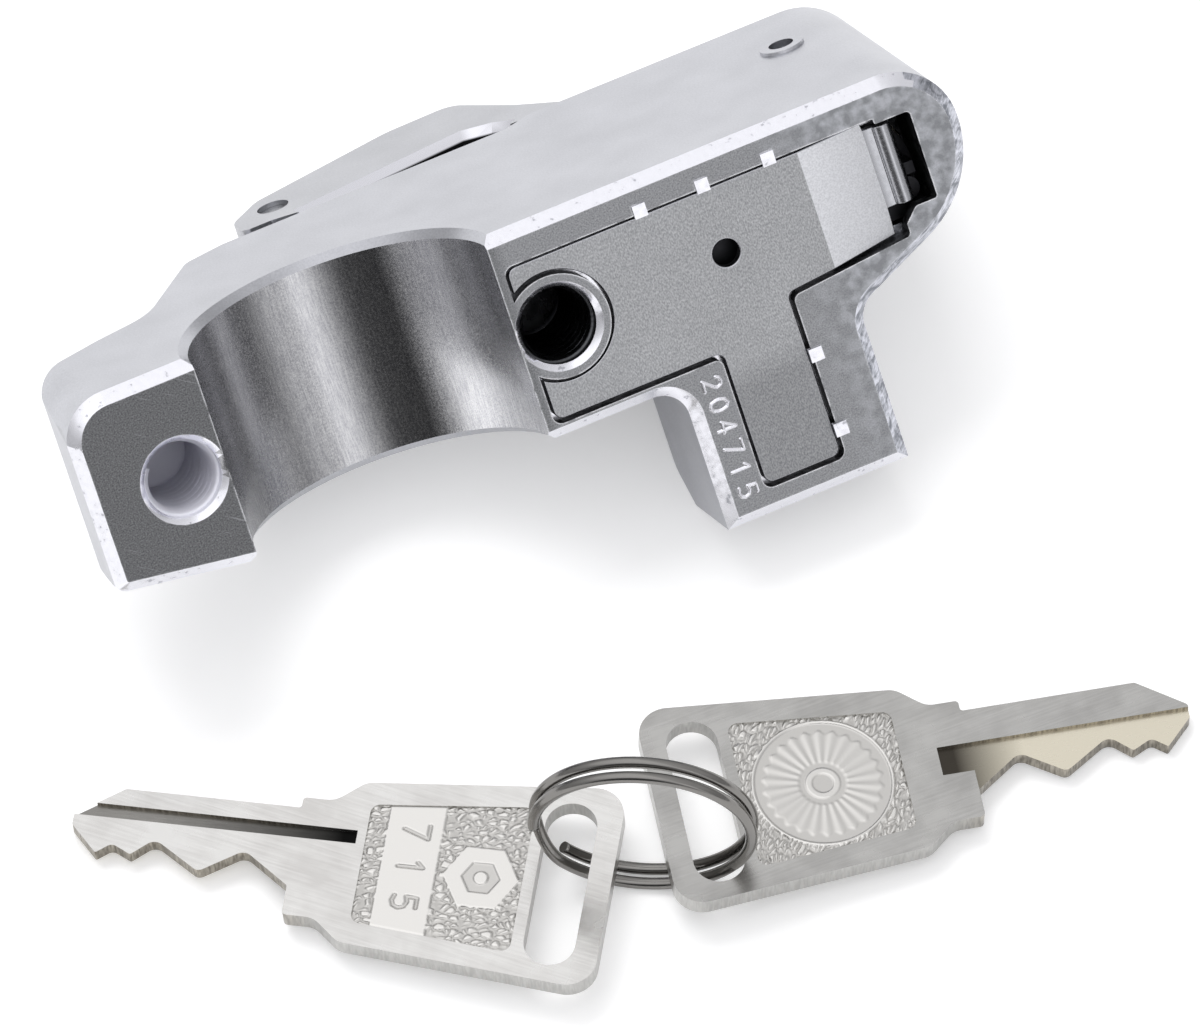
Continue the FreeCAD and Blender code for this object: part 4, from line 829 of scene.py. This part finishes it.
def thread_nodes():
    """Geometry nodes: a screw thread's ridge wound up the wall of a hole."""
    tree = bpy.data.node_groups.new("tapped thread", "GeometryNodeTree")
    sockets = {}
    for name, kind in (("Hole Radius", "NodeSocketFloat"), ("Pitch", "NodeSocketFloat"),
                       ("Turns", "NodeSocketFloat"), ("Ridge", "NodeSocketFloat"),
                       ("Finish", "NodeSocketMaterial")):
        sockets[name] = tree.interface.new_socket(name, in_out="INPUT", socket_type=kind).identifier
    tree.interface.new_socket("Geometry", in_out="OUTPUT", socket_type="NodeSocketGeometry")
    given = add(tree, "NodeGroupInput").outputs
    height = calc(tree, "MULTIPLY", given["Pitch"], given["Turns"])
    path = add(tree, "GeometryNodeCurveSpiral", {"Resolution": 48},
               {"Rotations": given["Turns"], "Start Radius": given["Hole Radius"],
                "End Radius": given["Hole Radius"], "Height": height})
    upright = add(tree, "GeometryNodeSetCurveNormal", {"mode": "Z_UP"}, {"Curve": path.outputs[0]})
    profile = add(tree, "GeometryNodeCurvePrimitiveCircle", {"Resolution": 3}, {"Radius": given["Ridge"]})
    ridge = add(tree, "GeometryNodeCurveToMesh", None,
                {"Curve": upright.outputs[0], "Profile Curve": profile.outputs["Curve"]})
    real = add(tree, "GeometryNodeRealizeInstances", None, {"Geometry": ridge.outputs[0]})
    coated = add(tree, "GeometryNodeSetMaterial", None,
                 {"Geometry": real.outputs[0], "Material": given["Finish"]})
    add(tree, "NodeGroupOutput", None, {"Geometry": coated.outputs[0]})
    return tree, sockets


def threads():
    """The thread in each tapped hole, wound by the geometry nodes and kept as a mesh."""
    tree, sockets = thread_nodes()
    # The left thread takes its hole's painted-light finish.
    for label, (x, y), finish in (("left", BOLT_HOLES[0], LEFT_WALL_PAINTED_LIGHT), ("right", BOLT_HOLES[1], RIGHT_WALL)):
        piece = new_piece("thread_" + label, bpy.data.meshes.new("thread_" + label), [])
        wound = piece.modifiers.new("thread", "NODES")
        wound.node_group = tree
        values = {"Hole Radius": BOLT_HOLE_RADIUS + 0.05, "Pitch": THREAD_PITCH,
                  "Turns": THREAD_TURNS, "Ridge": THREAD_RIDGE, "Finish": finish}
        for name, value in values.items():
            wound[sockets[name]] = value
        apply_modifiers(piece)
        piece.data.transform(LOCK @ Matrix.Translation((x, y, -BOLT_HOLE_SINK - THREAD_DEPTH)))
        finish_piece(piece, "lock", "cast_chrome")


body = rounded_copy("body_casting", LOCK, 0.22,
                    [SATIN, FACE, EDGE, SADDLE, LEFT_WALL_PAINTED_LIGHT, RAW_PAINTED_SHADE, RIGHT_WALL, SLOPE],
                    casting_finish, EDGE_SLOT)
finish_piece(body, "lock", "cast_chrome", "body_casting")
# The plate's edges take the dark raw finish as painted shade in the gaps beside the casting.
plate = rounded_copy("cover_plate", LOCK, 0.12, [PLATE, TONGUE, LIP, RAW_PAINTED_SHADE], plate_finish, LIP_SLOT)
finish_piece(plate, "lock", "plate_steel", "cover_plate")
lever = rounded_copy("hook_lever", LOCK, 0.2, [HOOK_SATIN, HOOK_EDGE_PAINTED_SHADE], lever_finish, HOOK_EDGE_PAINTED_SHADE_SLOT)
finish_piece(lever, "hook", "cast_chrome", "hook_lever")
cover = rounded_copy("key_cover", LOCK, 0.25, [BLACK], lambda place, normal: 0, 0)
finish_piece(cover, "cover", "cover_black", "key_cover")
make_key("key_1")
make_key("key_2")
leg_number()
split_ring()
threads()

# The cam, its clip and the latch bolt take the dark steel, painted shade for parts deep inside.
PLAIN = {
    "cylinder_barrel": BARREL, "face_ring": SATIN, "barrel_pin": STEEL, "hook_pivot_pin": STEEL,
    "cover_rivet": STEEL, "cylinder_plug": BARREL, "cam": DARK_STEEL_PAINTED_SHADE, "cam_clip": DARK_STEEL_PAINTED_SHADE,
    "latch_bolt": DARK_STEEL_PAINTED_SHADE,
}
MADE = ("body_casting", "cover_plate", "hook_lever", "key_cover", "key_1", "key_2", "split_ring")
for name, node in frame["nodes"].items():
    if name not in MADE:
        node.data.materials.clear()
        node.data.materials.append(PLAIN.get(name) or (SPRING if "spring" in name else WAFER))


# Floor, light and camera

FLOOR_HALF = 1.5


def stage():
    """White paper that looks white to the camera and stays dim in reflections."""
    mesh = bpy.data.meshes.new("floor")
    corners = [(x * FLOOR_HALF, y * FLOOR_HALF, 0) for x, y in ((-1, -1), (1, -1), (1, 1), (-1, 1))]
    mesh.from_pydata(corners, [], [(0, 1, 2, 3)])
    floor = bpy.data.objects.new("floor", mesh)
    bpy.context.scene.collection.objects.link(floor)
    material = bpy.data.materials.new("white_paper")
    material.use_nodes = True
    tree = material.node_tree
    tree.nodes.clear()
    paper = add(tree, "ShaderNodeBsdfDiffuse", {"Color": (0.86, 0.86, 0.86, 1)})
    ray = add(tree, "ShaderNodeLightPath")
    strength = calc(tree, "MAXIMUM", calc(tree, "MULTIPLY", ray.outputs["Is Camera Ray"], 0.3),
                    calc(tree, "MULTIPLY", calc(tree, "MAXIMUM", ray.outputs["Is Glossy Ray"],
                                                ray.outputs["Is Transmission Ray"]), 0.15))
    glow = add(tree, "ShaderNodeEmission", {"Color": (1, 1, 1, 1)}, {"Strength": strength})
    both = add(tree, "ShaderNodeAddShader", None, {0: paper.outputs[0], 1: glow.outputs[0]})
    add(tree, "ShaderNodeOutputMaterial", None, {"Surface": both.outputs[0]})
    mesh.materials.append(material)


def softbox(name, place, aim, size, power):
    lamp = bpy.data.lights.new(name, "AREA")
    lamp.shape = "RECTANGLE"
    lamp.size, lamp.size_y = size
    lamp.energy = power
    holder = bpy.data.objects.new(name, lamp)
    holder.location = place
    holder.rotation_euler = (Vector(aim) - Vector(place)).to_track_quat("-Z", "Y").to_euler()
    holder.visible_glossy = False
    bpy.context.scene.collection.objects.link(holder)


# Brightness of the room by height of the direction: floor, walls, ceiling
ROOM = ((-1.0, 0.85), (-0.06, 0.8), (0.0, 0.42), (0.3, 0.5), (0.6, 0.74), (0.87, 0.95), (1.0, 1.0))
CARD_ACROSS = (0.978, 0.21, 0.0)
DARK_TOWARDS = (-0.586, -0.751, 0.29)


def world_light():
    """A pale room with a narrow bright card in front and a dark gap to its left."""
    world = bpy.data.worlds.new("studio")
    bpy.context.scene.world = world
    world.use_nodes = True
    tree = world.node_tree
    tree.nodes.clear()
    where = add(tree, "ShaderNodeTexCoord").outputs["Generated"]
    parts = split(tree, where)
    level = value_ramp(tree, spread(tree, parts["Z"], -1.0, 1.0, 0.0, 1.0),
                       [((height + 1) / 2, value) for height, value in ROOM])
    across = add(tree, "ShaderNodeVectorMath", {"operation": "DOT_PRODUCT", 1: CARD_ACROSS}, {0: where})
    beside = calc(tree, "ABSOLUTE", across.outputs["Value"])
    card = calc(tree, "MULTIPLY", spread(tree, beside, 0.2, 0.1, 0.0, 1.0),
                calc(tree, "MULTIPLY", spread(tree, parts["Z"], -0.1, 0.0, 0.0, 1.0),
                     spread(tree, parts["Z"], 0.7, 0.5, 0.0, 1.0)))
    card = calc(tree, "MULTIPLY", card, spread(tree, parts["Y"], 0.1, -0.1, 0.0, 0.9))
    toward = add(tree, "ShaderNodeVectorMath", {"operation": "DOT_PRODUCT", 1: DARK_TOWARDS}, {0: where})
    dark = spread(tree, toward.outputs["Value"], 0.84, 0.95, 1.0, 0.2)
    overhead = spread(tree, parts["Z"], 0.55, 0.65, 0.0, 1.0)
    leaning = spread(tree, parts["X"], 0.1, 0.32, 0.25, -0.15)
    ceiling = calc(tree, "MULTIPLY_ADD", overhead, leaning, 1.0)
    strength = calc(tree, "MULTIPLY", calc(tree, "MULTIPLY", calc(tree, "ADD", 1.0, card), dark), ceiling)
    lit = add(tree, "ShaderNodeBackground", None, {"Color": level, "Strength": strength})
    white = add(tree, "ShaderNodeBackground", {"Color": (1, 1, 1, 1), "Strength": 1.0})
    ray = add(tree, "ShaderNodeLightPath")
    mixed = add(tree, "ShaderNodeMixShader", None,
                {0: ray.outputs["Is Camera Ray"], 1: lit.outputs[0], 2: white.outputs[0]})
    add(tree, "ShaderNodeOutputWorld", None, {"Surface": mixed.outputs[0]})


# The photograph's view: almost from above, slightly from the left, through a long lens
VIEW_RIGHT = Vector((0.908, -0.4185, -0.0200))
VIEW_FORWARD = Vector((0.1916, 0.4572, -0.8685))
VIEW_TARGET = LOCK.translation + Vector((22.25, -11.89, -40.82)) * MM
VIEW_DISTANCE = 2.6
PHOTO_WIDTH_PIXELS = 1200
PIXELS_PER_MM = 9.98
VIEW_WIDTH = PHOTO_WIDTH_PIXELS / PIXELS_PER_MM * MM


def camera():
    data = bpy.data.cameras.new("camera")
    data.sensor_width = 36
    data.lens = data.sensor_width * VIEW_DISTANCE / VIEW_WIDTH
    data.clip_start = 0.1
    data.clip_end = 20
    holder = bpy.data.objects.new("camera", data)
    forward = VIEW_FORWARD.normalized()
    right = (VIEW_RIGHT - VIEW_RIGHT.dot(forward) * forward).normalized()
    up = right.cross(forward)
    turn = Matrix((right, up, -forward)).transposed()
    holder.matrix_world = Matrix.Translation(VIEW_TARGET - forward * VIEW_DISTANCE) @ turn.to_4x4()
    bpy.context.scene.collection.objects.link(holder)
    bpy.context.scene.camera = holder


stage()
world_light()
softbox("overhead softbox", (-0.05, 0.45, 0.8), (0, 0, 0), (0.6, 0.4), 3.0)
camera()
bpy.context.scene.view_settings.view_transform = "Standard"
